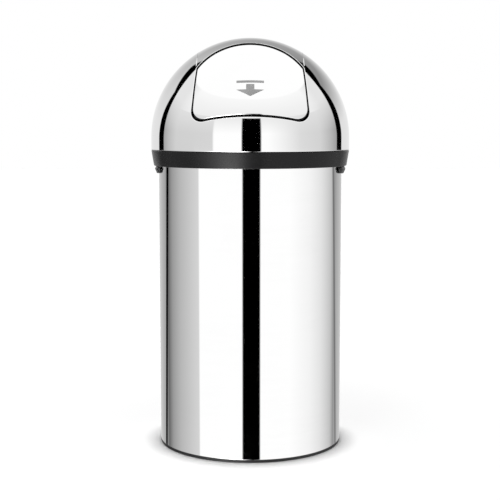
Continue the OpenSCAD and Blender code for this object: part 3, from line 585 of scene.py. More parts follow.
def finish(name, group, colour_value, metallic, values, bump, bump_size, **constants):
    """A material whose colour, roughness and bump come from a shared group."""
    made = bpy.data.materials.get(name)
    if made:
        return made
    made = bpy.data.materials.new(name)
    made.use_nodes = True
    tree = made.node_tree
    shader = next(n for n in tree.nodes if n.type == "BSDF_PRINCIPLED")
    shader.inputs["Metallic"].default_value = metallic
    for key, value in constants.items():
        shader.inputs[key.replace("_", " ")].default_value = value
    effect = add_node(tree, "ShaderNodeGroup", node_tree=group)
    effect.inputs["Colour"].default_value = (*colour_value, 1)
    for key, value in values.items():
        effect.inputs[key].default_value = value
    feed(tree, shader.inputs["Base Color"], effect.outputs["Colour"])
    feed(tree, shader.inputs["Roughness"], effect.outputs["Roughness"])
    if bump:
        relief = add_node(tree, "ShaderNodeBump")
        relief.inputs["Strength"].default_value = bump
        relief.inputs["Distance"].default_value = bump_size
        feed(tree, relief.inputs["Height"], effect.outputs["Height"])
        feed(tree, shader.inputs["Normal"], relief.outputs["Normal"])
    return made


def shared(name, build):
    return bpy.data.node_groups.get(name) or build()


# setting: material, node group, its builder, metallic, group values, bump, bump size, shader values
COATS = {
    "steel": ("mirror_steel", "polish", polish_group, 1.0, {"Haze": 0.05, "Roughness": 0.03}, 0, 0, {}),
    # inner: dull steel, kept dark so that the turned-in edges paint the shade in the gap round the flap
    "inner": ("unpolished_steel_darkened_for_gap_shade", "polish", polish_group, 1.0, {"Haze": 0.2, "Roughness": 0.4},
              0.05, 0.00005, {}),
    "ring": ("ring_moulding", "moulded_grain", grain_group, 0.0, {"Roughness": 0.27, "Grain": 2600.0},
             0.1, 0.00003, {"Specular_IOR_Level": 0.2}),
    "black": ("black_moulding", "moulded_grain", grain_group, 0.0, {"Roughness": 0.42, "Grain": 1900.0},
              0.2, 0.00005, {"Specular_IOR_Level": 0.3}),
    "galvanised": ("spangled_sheet", "zinc_spangle", zinc_group, 1.0,
                   {"Roughness": 0.34, "Spangle": 120.0, "Contrast": 0.3}, 0.05, 0.0001, {}),
    "zinc": ("zinc_plate", "zinc_spangle", zinc_group, 1.0,
             {"Roughness": 0.26, "Spangle": 900.0, "Contrast": 0.12}, 0.08, 0.00005, {}),
    "rubber": ("pad_rubber", "moulded_grain", grain_group, 0.0, {"Roughness": 0.72, "Grain": 1200.0},
               0.3, 0.0001, {"Specular_IOR_Level": 0.3}),
    "acetal": ("bush_acetal", "moulded_grain", grain_group, 0.0, {"Roughness": 0.32, "Grain": 1500.0},
               0.05, 0.00005, {}),
    "ink": ("grey_print", "moulded_grain", grain_group, 0.0, {"Roughness": 0.6, "Grain": 3000.0},
            0.1, 0.00003, {"Specular_IOR_Level": 0.3}),
}


def coat(setting):
    """The material of a finish, in the colour of its setting."""
    name, group, build, metallic, values, bump, bump_size, constants = COATS[setting]
    colour_value = getattr(bpy.context.scene.push_bin.finishes, setting)
    return finish(name, shared(group, build), colour_value, metallic, values, bump, bump_size, **constants)


# ---------- body ----------

class BodyTube(bpy.types.Operator):
    """Makes the steel tube with its folded hem and the ground weld seam at the back"""
    bl_idname = "push_bin.body_tube"
    bl_label = "Body tube"

    def execute(self, context):
        s = context.scene.push_bin.body
        inner, hem = s.radius - s.sheet, s.radius - 2 * s.sheet
        half = math.degrees(s.seam_width / 2 / s.radius)
        angles = np.unique(np.concatenate((
            azimuths(288), BACK + half * np.linspace(-1.5, 1.5, 19))))

        def dent(a):
            """Depth and tilt of the shallow groove along the seam."""
            x = np.clip((a - BACK) / half, -1, 1)
            depth = s.seam_depth * (1 + np.cos(math.pi * x)) / 2
            slope = -s.seam_depth * math.pi * np.sin(math.pi * x) / 2 / (s.seam_width / 2)
            return depth, slope

        corners = [
            (s.radius, s.foot, s.sheet * 0.9), (s.radius, s.top, 0.15 * MM), (inner, s.top, 0.15 * MM),
            (inner, s.foot + s.hem, 0.2 * MM), (hem, s.foot + s.hem, 0.3 * MM), (hem, s.foot, 0.4 * MM)]
        mesh = grid_mesh("body_tube", lathe_runs(corners, angles, dent=dent))
        add_piece("body_tube", mesh, "bin", coat("steel"), ["body_shell"])
        return {"FINISHED"}


class BaseRing(bpy.types.Operator):
    """Makes the plastic ring that the tube stands on"""
    bl_idname = "push_bin.base_ring"
    bl_label = "Base ring"

    def execute(self, context):
        s = context.scene.push_bin.body
        outer, floor = s.radius, FOOT[1].z
        upstand = s.radius - 2 * s.sheet - s.fit
        corners = [
            (outer - s.tread_width, 0, 0.6 * MM), (outer, 0, s.foot_round), (outer, s.foot, 0.3 * MM),
            (upstand, s.foot, 0.2 * MM), (upstand, floor, 0.4 * MM),
            (upstand - s.upstand, floor, 0.4 * MM), (upstand - s.upstand, s.foot - s.tread_drop, 0.3 * MM),
            (outer - s.tread_width, s.foot - s.tread_drop, 0.4 * MM)]
        mesh = grid_mesh("foot_ring", lathe_runs(corners))
        add_piece("foot_ring", mesh, "bin", coat("black"), ["base_ring"])
        return {"FINISHED"}


class TopCollar(bpy.types.Operator):
    """Makes the collar over the tube's upper edge, with the ledge for the bucket"""
    bl_idname = "push_bin.top_collar"
    bl_label = "Top collar"

    def execute(self, context):
        s = context.scene.push_bin.body
        top, skirt = COLLAR[1].z, s.top - s.collar_skirt
        inside = s.radius - s.sheet - s.channel
        outside = s.radius + s.channel
        corners = [
            (s.ledge_radius, top - s.ledge, 0.5 * MM), (inside - s.collar_inner, top - s.ledge, 0.6 * MM),
            (inside - s.collar_inner, skirt, 0.5 * MM), (inside, skirt, 0.4 * MM), (inside, s.top, 0),
            (outside, s.top, 0), (outside, skirt, 0.4 * MM), (outside + s.collar_wall, skirt, 0.6 * MM),
            (outside + s.collar_wall, top, 1.2 * MM), (s.ledge_radius, top, 0.8 * MM)]
        mesh = grid_mesh("collar", lathe_runs(corners))
        add_piece("collar", mesh, "bin", coat("black"), ["top_collar"])
        return {"FINISHED"}


class HandGrips(bpy.types.Operator):
    """Makes the finger grips at the left and right, with rounded ends"""
    bl_idname = "push_bin.hand_grips"
    bl_label = "Hand grips"

    def execute(self, context):
        body, s = context.scene.push_bin.body, context.scene.push_bin.grips
        inner, out = body.radius + body.fit, GRIP[1].x
        low, neck, top = GRIP[0].z, RING[0].z, GRIP[1].z
        depth = neck - low
        outline = section([
            (inner, top, 0.4 * MM), (inner, neck - 0.35 * depth, 1.2 * MM),
            (inner + 0.5 * MM, neck - 0.6 * depth, 1.4 * MM), (inner + 1.6 * MM, low, 1.2 * MM),
            (inner + 3.6 * MM, low, 1.5 * MM), (out, neck - 0.4 * depth, 2.6 * MM),
            (out - 3 * MM, neck, 0.8 * MM), (inner + s.flange, neck + 1 * MM, 0.6 * MM),
            (inner + s.flange, top, 0.5 * MM)], step=math.radians(20))
        rim = np.vstack([run[:-1, :2] for run in outline])
        core = np.array((inner + 3 * MM, neck - 0.25 * depth))
        half, nose = math.degrees(s.half_angle), math.degrees(s.end_round / out)
        turns = half - nose + nose * np.sin(np.radians(np.linspace(0, 90, 9)))
        swell = np.cos(np.radians(np.linspace(0, 90, 9)))
        spans = [(-a, k) for a, k in zip(turns[::-1], swell[::-1])]
        spans += [(a, 1.0) for a in np.linspace(-half + nose, half - nose, 25)[1:-1]]
        spans += list(zip(turns, swell))
        right, left = -s.forward - s.aside, math.pi + s.forward - s.aside
        for name, middle in (("grip_right", right), ("grip_left", left)):
            rings = []
            for degrees, size in spans:
                a = middle + math.radians(degrees)
                shape = core + (rim - core) * size
                lift = s.end_rise * (math.radians(degrees) / s.half_angle) ** 2
                shape[:, 1] += lift * np.maximum(neck - shape[:, 1], 0)
                rings.append(np.stack((shape[:, 0] * math.cos(a), shape[:, 0] * math.sin(a), shape[:, 1]), 1))
            rings = np.array(rings)
            mesh = grid_mesh(name, [(rings, unit(rings - rings.mean(1, keepdims=True) + 1e-9))],
                             closed=False, shaded=False)
            smooth_edges(mesh, 40)
            add_piece("hand_" + name, mesh, "bin", coat("black"), [name])
        return {"FINISHED"}


# ---------- bucket ----------

class Bucket(bpy.types.Operator):
    """Makes the tapered bucket with its rolled rim, beads, vent holes and pressed base"""
    bl_idname = "push_bin.bucket"
    bl_label = "Bucket"

    def execute(self, context):
        s = context.scene.push_bin.bucket
        foot, rim_z = BUCKET[0].z, BUCKET[1].z - s.curl
        slope = (s.top_radius - s.low_radius) / (rim_z - foot)

        def outer(z):
            return s.low_radius + (z - foot) * slope

        def bead(z, side):
            """Corners of a bead pressed outward, on the outer or the inner face."""
            spots = [(z - s.bead_half, 0), (z - 0.3 * s.bead_half, s.bead), (z + 0.3 * s.bead_half, s.bead),
                     (z + s.bead_half, 0)]
            thin = 0 if side > 0 else s.sheet
            line = [(outer(h) - thin + out, h, 1.2 * MM) for h, out in spots]
            return line if side > 0 else line[::-1]

        third = (rim_z - foot) / 3
        rise, fall = (foot + third, foot + 2 * third), (foot + 2 * third, foot + third)
        curl_x = BUCKET[1].x - s.curl
        curl = [(curl_x + s.curl * math.cos(a), rim_z + s.curl * math.sin(a), 0)
                for a in np.radians((*np.linspace(-150, 90, 17), *np.linspace(105, 165, 5)))]
        corners = [(s.low_radius, foot, 0)]
        for z in rise:
            corners += bead(z, 1)
        corners += curl
        for z in fall:
            corners += bead(z, -1)
        corners += [(s.low_radius - s.sheet, foot, 0)]
        wall = grid_mesh("bucket_wall", lathe_runs(corners, azimuths(192)),
                         shaded=False)
        vent_z = BASE[1].z - s.sheet + s.vent_rise
        reach = (0.12, 0.121, 0.169, 0.17)    # tips and ends of a punch, from the axis
        punches = []
        for i in range(s.vents):
            a = 2 * math.pi / s.vents * (i + 0.5)
            way = np.array((math.cos(a), math.sin(a), 0))
            path = [way * r + (0, 0, vent_z) for r in reach]
            radii = [0, s.vent_radius, s.vent_radius, 0]
            punches.append(grid_mesh("punch", tube_runs(path, radii, 24), closed=False, shaded=False))
        wall = cut_holes(wall, joined("punches", punches))
        smooth_edges(wall, 32)
        add_piece("bucket_side", wall, "bucket", coat("galvanised"), ["bucket_wall"])

        edge, base_z = BASE[1].x, BASE[1].z
        step, well, brink, bend = 1.5 * MM, 55 * MM, 60 * MM, 2 * MM
        corners = [
            (0, base_z - s.sheet - step, 0), (well, base_z - s.sheet - step, bend),
            (brink, base_z - s.sheet, bend), (edge - s.sheet, base_z - s.sheet, 0.6 * MM),
            (edge - s.sheet, BASE[0].z, 0.1 * MM), (edge, BASE[0].z, 0.1 * MM), (edge, base_z, 1.1 * MM),
            (brink, base_z, bend), (well, base_z - step, bend), (0, base_z - step, 0)]
        mesh = grid_mesh("bucket_bottom", lathe_runs(corners, closed=False), closed=False)
        add_piece("bucket_bottom", mesh, "bucket", coat("galvanised"), ["bucket_base"])
        return {"FINISHED"}


class BailSleeve(bpy.types.Operator):
    """Makes the ribbed plastic sleeve on the bail"""
    bl_idname = "push_bin.bail_sleeve"
    bl_label = "Bail sleeve"

    def execute(self, context):
        s = context.scene.push_bin.bucket
        path_r = BAIL[1].y - s.wire
        height = (BAIL[0].z + BAIL[1].z) / 2
        half = s.sleeve_length / 2 / path_r
        rib_steps, rib_depth = 8, 0.45 * MM
        steps = s.ribs * rib_steps
        spread = np.linspace(-half, half, steps + 1)
        wave = np.cos(2 * math.pi * s.ribs * (spread + half) / (2 * half))
        radii = s.sleeve - rib_depth * (1 + wave) / 2
        a = math.pi / 2 + spread
        path = np.stack((path_r * np.cos(a), path_r * np.sin(a), height + 0 * a), 1)
        bore = s.wire + 0.1 * MM
        # known fault: a doubled end point has no direction, so the rings of outside aren't valid
        path = np.vstack((path[:1], path, path[-1:]))
        radii = np.concatenate(([bore], radii, [bore]))
        outside = tube_runs(path, radii, 24)[0][0]
        inside = tube_runs(path[1:-1], np.full(len(path) - 2, bore), 24)[0][0][::-1]
        rings = np.concatenate((outside[1:-1], inside, outside[1:2]))
        mesh = grid_mesh("bail_sleeve", [(rings, unit(rings - (0, 0, height)))], closed=True, shaded=False)
        smooth_edges(mesh, 50)
        add_piece("bail_sleeve", mesh, "bail", coat("black"), ["bail_grip"])
        return {"FINISHED"}


# ---------- lid ----------

class LidRing(bpy.types.Operator):
    """Makes the tapered lid ring with its rib, locating skirt and screw bosses"""
    bl_idname = "push_bin.lid_ring"
    bl_label = "Lid ring"

    def execute(self, context):
        s = context.scene.push_bin.lid
        outer, low, plate_top = RING[1].x, RING[0].z, RING[1].z
        slope = s.taper / (s.ring_top - low)
        plate_low = plate_top - s.plate
        inner_low = outer - s.taper - s.wall
        inner_top = inner_low + (plate_low - low) * slope
        fine = 0.3 * MM
        corners = [
            (inner_low, low, 0.5 * MM), (outer - s.taper, low, s.low_round),
            (outer, s.ring_top, s.lip_round), (outer - s.groove, s.ring_top, fine),
            (outer - s.groove, plate_top, fine), (s.rib_radius, plate_top, 2 * fine),
            (s.rib_radius, s.seat, fine), (s.rib_radius + s.rib, s.seat, fine),
            (s.rib_radius + s.rib, plate_low, fine), (s.skirt_radius, plate_low, fine),
            (s.skirt_radius, s.skirt_low, 2 * fine), (s.skirt_radius + s.skirt, s.skirt_low, 2 * fine),
            (s.skirt_radius + s.skirt, plate_low, fine), (inner_top, plate_low, fine)]
        mesh = grid_mesh("ring", lathe_runs(corners, azimuths(320)))
        add_piece("ring", mesh, "lid", coat("ring"), ["lid_ring"])

        bosses = []
        for i in range(s.screws):
            runs = lathe_runs([
                (s.bore, s.boss_low, fine), (s.boss, s.boss_low, 2 * fine), (s.boss, plate_low, 0),
                (s.bore, plate_low, 0)], azimuths(32))
            boss = grid_mesh("boss", runs, shaded=False)
            a = 2 * math.pi / s.screws * (i + 0.5)
            for v in boss.vertices:
                v.co += Vector((s.screw_circle * math.cos(a), s.screw_circle * math.sin(a), 0))
            bosses.append(boss)
        mesh = joined("ring_bosses", bosses)
        smooth_edges(mesh)
        add_piece("ring_bosses", mesh, "lid", coat("ring"), ["lid_ring"])
        return {"FINISHED"}


def mouth_outline(s, side_gap, arch_gap, low_gap, corner):
    """Points and outward normals of the mouth's outline in its own plane, anticlockwise from below.

    The gaps draw its sides, arch and lower edge inward. A row is (u, v, normal u, normal v).
    """
    lean, shoulder = s.lean, s.shoulder
    arch = s.arch
    arch_v = s.high - arch - arch_gap
    low = s.low + low_gap

    def side(v):
        return s.width / 2 - (v - s.low) * math.tan(lean) - side_gap / math.cos(lean)

    corner_v = low + corner
    corner_u = side(corner_v) - corner / math.cos(lean)
    # the shoulder's centre lies on the side line moved in and on the arch made smaller
    n = np.array((math.cos(lean), math.sin(lean)))
    reach = n @ np.array((side(0), 0)) - shoulder
    drop = reach - n[1] * arch_v
    along = np.array((-n[1], n[0]))
    travel = math.sqrt((arch - shoulder) ** 2 - drop ** 2)
    centre = np.array((0, arch_v)) + drop * n + travel * along
    arch_angle = math.atan2(centre[1] - arch_v, centre[0])

    def arc(cu, cv, r, a0, a1, steps):
        a = np.linspace(a0, a1, steps)
        return np.stack((cu + r * np.cos(a), cv + r * np.sin(a), np.cos(a), np.sin(a)), 1)

    foot = np.stack((np.linspace(0, corner_u, 36)[:-1], np.full(35, low), np.zeros(35), np.full(35, -1.0)), 1)
    bend = arc(corner_u, corner_v, corner, -math.pi / 2, lean, 25)
    shoulder_arc = arc(*centre, shoulder, lean, arch_angle, 13)
    start, end = bend[-1, :2], shoulder_arc[0, :2]
    t = np.linspace(0, 1, 34)[1:-1, None]
    rise = np.hstack((start + (end - start) * t, np.tile(n, (len(t), 1))))
    top = arc(0, arch_v, arch, arch_angle, math.pi / 2, 49)[1:]
    half = np.vstack((foot, bend, rise, shoulder_arc, top))
    mirror = half[1:-1][::-1] * (-1, 1, -1, 1)
    return np.vstack((half, mirror))


def mouth_axes(tilt):
    """Directions of the mouth's u, v and cutting axis in the frame."""
    return np.array(((1, 0, 0), (0, math.sin(tilt), math.cos(tilt)), (0, -math.cos(tilt), math.sin(tilt))))


def outline_frame(outline, radius, tilt):
    """On a sphere about the origin: points of the outline, surface normals, directions away from the
    mouth along the surface, directions down the cut wall, and the wall's normals into the opening."""
    axes = mouth_axes(tilt)
    u, v, nu, nv = outline.T
    w = np.sqrt(radius ** 2 - u ** 2 - v ** 2)
    points = np.stack((u, v, w), 1)
    surface = unit(points)
    along = unit(np.stack((-nv, nu, -(u * -nv + v * nu) / w), 1))
    away = unit(np.cross(along, surface))
    away *= np.sign((away[:, 0] * nu + away[:, 1] * nv))[:, None]
    cut = np.array((0, 0, 1.0))
    down = -unit(cut - (along @ cut)[:, None] * along)
    wall = np.stack((-nu, -nv, 0 * nu), 1)
    return [x @ axes for x in (points, surface, away, down, wall)]


def half_angle(first, second):
    """Half of the angle between two directions at each point."""
    return np.arccos(np.clip((first * second).sum(1), -1, 1)) / 2


def bend_rings(corner, first, second, radius, steps):
    """Rings round a bend between two directions that leave each corner point, and their normals."""
    half = half_angle(first, second)
    middle = unit(first + second)
    centre = corner + middle * (radius / np.sin(half))[:, None]
    start = corner + first * (radius / np.tan(half))[:, None] - centre
    end = corner + second * (radius / np.tan(half))[:, None] - centre
    sweep = math.pi - 2 * half
    rings = []
    for t in np.linspace(0, 1, steps):
        a, b = np.sin((1 - t) * sweep) / np.sin(sweep), np.sin(t * sweep) / np.sin(sweep)
        rings.append(centre + a[:, None] * start + b[:, None] * end)
    rings = np.array(rings)
    return rings, unit(rings - centre)


def dome_ball(s):
    """Radius and centre of the dome's outer half sphere."""
    return DOME[1].x, np.array((0, 0, DOME[0].z + s.dome_skirt))


def mouth_pole(m, radius, axes):
    """Direction from the ball's centre through the mouth's middle."""
    middle_v = (m.low + m.high) / 2
    return np.array((0, middle_v, math.sqrt(radius ** 2 - middle_v ** 2))) @ axes / radius


class Dome(bpy.types.Operator):
    """Makes the polished dome with its mouth, turned-in edges and flange"""
    bl_idname = "push_bin.dome"
    bl_label = "Dome"

    def execute(self, context):
        s, m = context.scene.push_bin.lid, context.scene.push_bin.mouth
        radius, centre = dome_ball(s)
        axes = mouth_axes(m.tilt)
        outline = mouth_outline(m, 0, 0, 0, m.corner)
        corner, surface, away, down, wall = outline_frame(outline, radius, m.tilt)

        rise = (outline[:, 1] - m.low) / (m.high - m.low)
        bend = (m.bend + (m.bend_top - m.bend) * rise) * np.tan(half_angle(away, down))
        outer_bend, outer_normals = bend_rings(corner, away, down, bend, 9)
        thin_corner = corner - surface * s.dome_sheet - wall * s.dome_sheet
        inner_bend, inner_normals = bend_rings(thin_corner, away, down, 0.4 * bend, 9)
        end_outer = corner + down * m.edge
        end_inner = end_outer - wall * s.dome_sheet

        # great circles from the mouth's middle through the outline to the equator
        pole = mouth_pole(m, radius, axes)

        def ball_rings(start, r, count):
            """Rings on a sphere from the bend to the equator, and the equator's azimuths."""
            direction = unit(start)
            tangent = unit(direction - (direction @ pole)[:, None] * pole)
            first = np.arccos(np.clip(direction @ pole, -1, 1))
            last = np.arctan2(pole[2], -tangent[:, 2])
            rings = []
            for t in np.linspace(0, 1, count) ** 1.15:
                a = first + (last - first) * t
                rings.append(r * (np.cos(a)[:, None] * pole + np.sin(a)[:, None] * tangent))
            return np.array(rings)

        ball = ball_rings(outer_bend[0], radius, 40)
        ball[0] = outer_bend[0]
        hollow = ball_rings(inner_bend[0], radius - s.dome_sheet, 40)
        hollow[0] = inner_bend[0]
        equator = np.arctan2(ball[-1][:, 1], ball[-1][:, 0])
        flange_r = radius - s.dome_flange
        fine = 0.15 * MM
        down_section = section([
            (radius, 0, 0), (radius, -s.dome_skirt, s.foot_round), (flange_r, -s.dome_skirt, fine),
            (flange_r, -s.dome_skirt + s.dome_sheet, fine),
            (radius - s.dome_sheet, -s.dome_skirt + s.dome_sheet, s.foot_round - s.dome_sheet),
            (radius - s.dome_sheet, 0, 0)], closed=False)

        runs = [(ball, unit(ball))]
        for run in down_section:
            r, z, nr, nz = (run[:, k][:, None] for k in range(4))
            points = np.stack((r * np.cos(equator), r * np.sin(equator), z + 0 * equator), -1)
            # the section is drawn clockwise here, so its normals are turned round
            normals = -np.stack((nr * np.cos(equator), nr * np.sin(equator), nz + 0 * equator), -1)
            runs.append((points, normals))
        # Material 1, the dark inner steel, covers the inside and the turned-in edge round the mouth. On the
        # edge its darkness paints the shade in the gap round the flap.
        runs.append((hollow[::-1], -unit(hollow[::-1]), 1))
        runs.append((inner_bend, -inner_normals, 1))
        runs.append((np.array((inner_bend[-1], end_inner)), np.array((-wall, -wall)), 1))
        runs.append((np.array((end_inner, end_outer)), np.array((down, down)), 1))
        runs.append((np.array((end_outer, outer_bend[-1])), np.array((wall, wall)), 1))
        runs.append((outer_bend[::-1], outer_normals[::-1]))
        runs = [(points + centre, *rest) for points, *rest in runs]
        mesh = grid_mesh("dome", runs)
        add_piece("dome", mesh, "lid", (coat("steel"), coat("inner")), ["dome_shell"])
        return {"FINISHED"}


class DomeCreases(bpy.types.Operator):
    """Makes the two pressed creases that run from the mouth's upper corners over the dome"""
    bl_idname = "push_bin.dome_creases"
    bl_label = "Dome creases"

    def execute(self, context):
        s, m = context.scene.push_bin.lid, context.scene.push_bin.mouth
        radius, centre = dome_ball(s)
        outline = mouth_outline(m, 0, 0, 0, m.corner)
        corner = outline_frame(outline, radius, m.tilt)[0]
        top = corner[np.argmax(outline[:, 0] * outline[:, 2] + 1.2 * outline[:, 1] * (outline[:, 0] > 0))]
        lead, aside, drift = math.radians(1.5), 0.6 * MM, 0.5 * MM
        first = math.atan2(top[1], top[2]) + lead
        t = np.linspace(0, 1, 41)
        across = top[0] + aside - drift * t
        around = first + (math.radians(m.crease_end) - first) * t
        fade = np.sin(np.clip(t / 0.06, 0.1, 1) * math.pi / 2) * np.cos(t * 0.49 * math.pi) ** 0.5
        rise = radius - m.crease * (1 - 0.5 * fade)
        ring = np.sqrt(rise ** 2 - across ** 2)
        path = np.stack((across, ring * np.sin(around), ring * np.cos(around)), 1)
        mesh = tube_pair("creases", path, m.crease * fade, centre)
        smooth_edges(mesh, 60)
        add_piece("dome_creases", mesh, "lid", coat("steel"), ["dome_shell"])
        return {"FINISHED"}


class Flap(bpy.types.Operator):
    """Makes the polished flap with its turned-in edge"""
    bl_idname = "push_bin.flap"
    bl_label = "Flap"

    def execute(self, context):
        s, m = context.scene.push_bin.lid, context.scene.push_bin.mouth
        radius, centre = dome_ball(s)
        axes = mouth_axes(m.tilt)
        outline = mouth_outline(m, m.gap, m.arch_gap, m.low_gap, m.flap_corner)
        corner, surface, away, down, wall = outline_frame(outline, radius, m.tilt)
        toward, facing = -away, -wall
        sheet = m.flap_sheet

        outer_bend, outer_normals = bend_rings(corner, toward, down, m.flap_bend, 7)
        thin_corner = corner - surface * sheet - facing * sheet
        inner_bend, inner_normals = bend_rings(thin_corner, toward, down, 0.4 * m.flap_bend, 5)
        depth = m.flap_rim / np.maximum(-(surface * down).sum(1), 0.5)
        end_outer = corner + down * depth[:, None]
        end_inner = end_outer - facing * sheet

        pole = mouth_pole(m, radius, axes)

        def cap_rings(edge, r, count):
            """Rings on a sphere from its middle out to the edge."""
            direction = unit(edge)
            tangent = unit(direction - (direction @ pole)[:, None] * pole)
            last = np.arccos(np.clip(direction @ pole, -1, 1))
            rings = [r * (np.cos(last * t)[:, None] * pole + np.sin(last * t)[:, None] * tangent)
                     for t in np.linspace(0, 1, count)]
            return np.array(rings)

        cap = cap_rings(outer_bend[0], radius, 32)
        cap[-1] = outer_bend[0]
        hollow = cap_rings(inner_bend[0], radius - sheet, 32)
        hollow[-1] = inner_bend[0]
        # Material 1, the dark inner steel, covers the flap's turned-in edge and its inside. On the edge it
        # paints the shade in the gap round the flap.
        runs = [
            (cap, unit(cap)), (outer_bend, outer_normals),
            (np.array((outer_bend[-1], end_outer)), np.array((facing, facing)), 1),
            (np.array((end_outer, end_inner)), np.array((down, down)), 1),
            (np.array((end_inner, inner_bend[-1])), np.array((-facing, -facing)), 1),
            (inner_bend[::-1], -inner_normals[::-1], 1), (hollow[::-1], -unit(hollow[::-1]), 1)]
        runs = [(points + centre, *rest) for points, *rest in runs]
        mesh = grid_mesh("flap", runs, closed=False)
        add_piece("flap", mesh, "flap", (coat("steel"), coat("inner")), ["flap_panel"])
        return {"FINISHED"}


class ReturnSprings(bpy.types.Operator):
    """Makes the two wound return springs at the hinge"""
    bl_idname = "push_bin.return_springs"
    bl_label = "Return springs"

    def execute(self, context):
        s = context.scene.push_bin.springs
        hinge = (AXLE[0] + AXLE[1]) / 2
        arm_way, dome_way = math.radians(197), math.radians(60)
        start = arm_way + math.pi / 2
        sweep = dome_way - arm_way - math.pi + 2 * math.pi * (s.turns + 1)
        turn_steps, nudge = 24, 1e-4
        steps = math.ceil(turn_steps * sweep / (2 * math.pi))

        def leg(point, way, reach, count):
            tip = point + reach * np.array((0, math.cos(way), math.sin(way)))
            return [point + (tip - point) * t for t in np.linspace(0, 1, count)[1:]]

        coil = []
        for i in range(steps + 1):
            a = start + sweep * i / steps
            out = s.start + s.travel * i / steps
            coil.append(np.array((out, s.coil * math.cos(a), s.coil * math.sin(a))))
        path = leg(coil[0], arm_way, s.arm_leg, 4)[::-1] + coil + leg(coil[-1], dome_way, s.dome_leg, 4)
        path = np.array([path[0], *path, path[-1]]) + (0, hinge.y, hinge.z)
        # the doubled end points move out slightly, so that each point of the path has a direction
        path[0] += (path[1] - path[2]) * nudge
        path[-1] += (path[-2] - path[-3]) * nudge
        radii = [0] + [s.wire] * (len(path) - 2) + [0]
        mesh = tube_pair("springs", path, radii)
        smooth_edges(mesh, 50)
        add_piece("springs", mesh, "lid", coat("zinc"), ["return_springs"])
        return {"FINISHED"}


class Hardware(bpy.types.Operator):
    """Gives the carried-over pieces of the frame their finishes"""
    bl_idname = "push_bin.hardware"
    bl_label = "Hardware finishes"

    def execute(self, context):
        finishes = {
            "galvanised": ("body_floor",),
            "zinc": ("grip_rivets", "bail_ears", "ear_rivets", "bail_wire", "ring_screws",
                     "hinge_bracket_left", "hinge_bracket_right", "hinge_axle", "axle_clips"),
            "rubber": ("stop_pads",),
            "black": ("flap_carrier",),
            "acetal": ("hinge_bushes",),
            "ink": ("push_mark",)}
        for setting, names in finishes.items():
            for name in names:
                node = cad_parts[name]
                node.data.materials.clear()
                node.data.materials.append(coat(setting))
        return {"FINISHED"}


# ---------- studio ----------

def tone(level):
    """Linear light for a display level from 0 to 255."""
    v = level / 255
    return v / 12.92 if v <= 0.04045 else ((v + 0.055) / 1.055) ** 2.4


def grey(level):
    return (tone(level),) * 3


def wall_ramp(tree, azimuth, stops):
    """Light of the studio's walls by azimuth; a stop is (degrees, display level)."""
    ramp = add_node(tree, "ShaderNodeValToRGB")
    feed(tree, ramp.inputs[0], remap(tree, azimuth, -180, 180))
    elements = ramp.color_ramp.elements
    while len(elements) < len(stops):
        elements.new(0.5)
    for element, (degrees, level) in zip(elements, stops):
        element.position = (degrees + 180) / 360
        element.color = (*grey(level), 1)
    return ramp.outputs[0]


def between(tree, value, low, high, soft):
    """1 where the value lies between two limits, with soft edges."""
    rise = remap(tree, value, low - soft, low + soft)
    fall = remap(tree, value, high - soft, high + soft, 1.0, 0.0)
    return calc(tree, "MULTIPLY", rise, fall)


def backdrop_frame(tree, x, y, z, s):
    """Distance from the middle of the rounded black frame round the backdrop, the place across it and
    the frame's half width. The frame is drawn on a flat wall behind the bin, one unit away."""
    ahead = calc(tree, "MAXIMUM", y, 0.05)
    across = calc(tree, "DIVIDE", x, ahead)
    up = calc(tree, "SUBTRACT", calc(tree, "DIVIDE", z, ahead), calc(tree, "MULTIPLY", across, s.frame_turn))
    widest = calc(tree, "ADD", calc(tree, "ABSOLUTE", across), remap(tree, up, 0.0, 0.7, s.frame_lean, 0.0))
    side = calc(tree, "SUBTRACT", widest, s.frame_half - s.frame_round)
    top = calc(tree, "SUBTRACT", up, s.frame_top - s.frame_round)
    corner = calc(tree, "SQRT", calc(tree, "ADD",
                                     calc(tree, "POWER", calc(tree, "MAXIMUM", side, 0.0), 2.0),
                                     calc(tree, "POWER", calc(tree, "MAXIMUM", top, 0.0), 2.0)))
    edge = calc(tree, "MINIMUM", calc(tree, "MAXIMUM", side, top), 0.0)
    distance = calc(tree, "SUBTRACT", calc(tree, "ADD", corner, edge), s.frame_round)
    return distance, across, remap(tree, up, 0.3, 1.0, s.frame_wide, 0.8 * s.frame_wide)


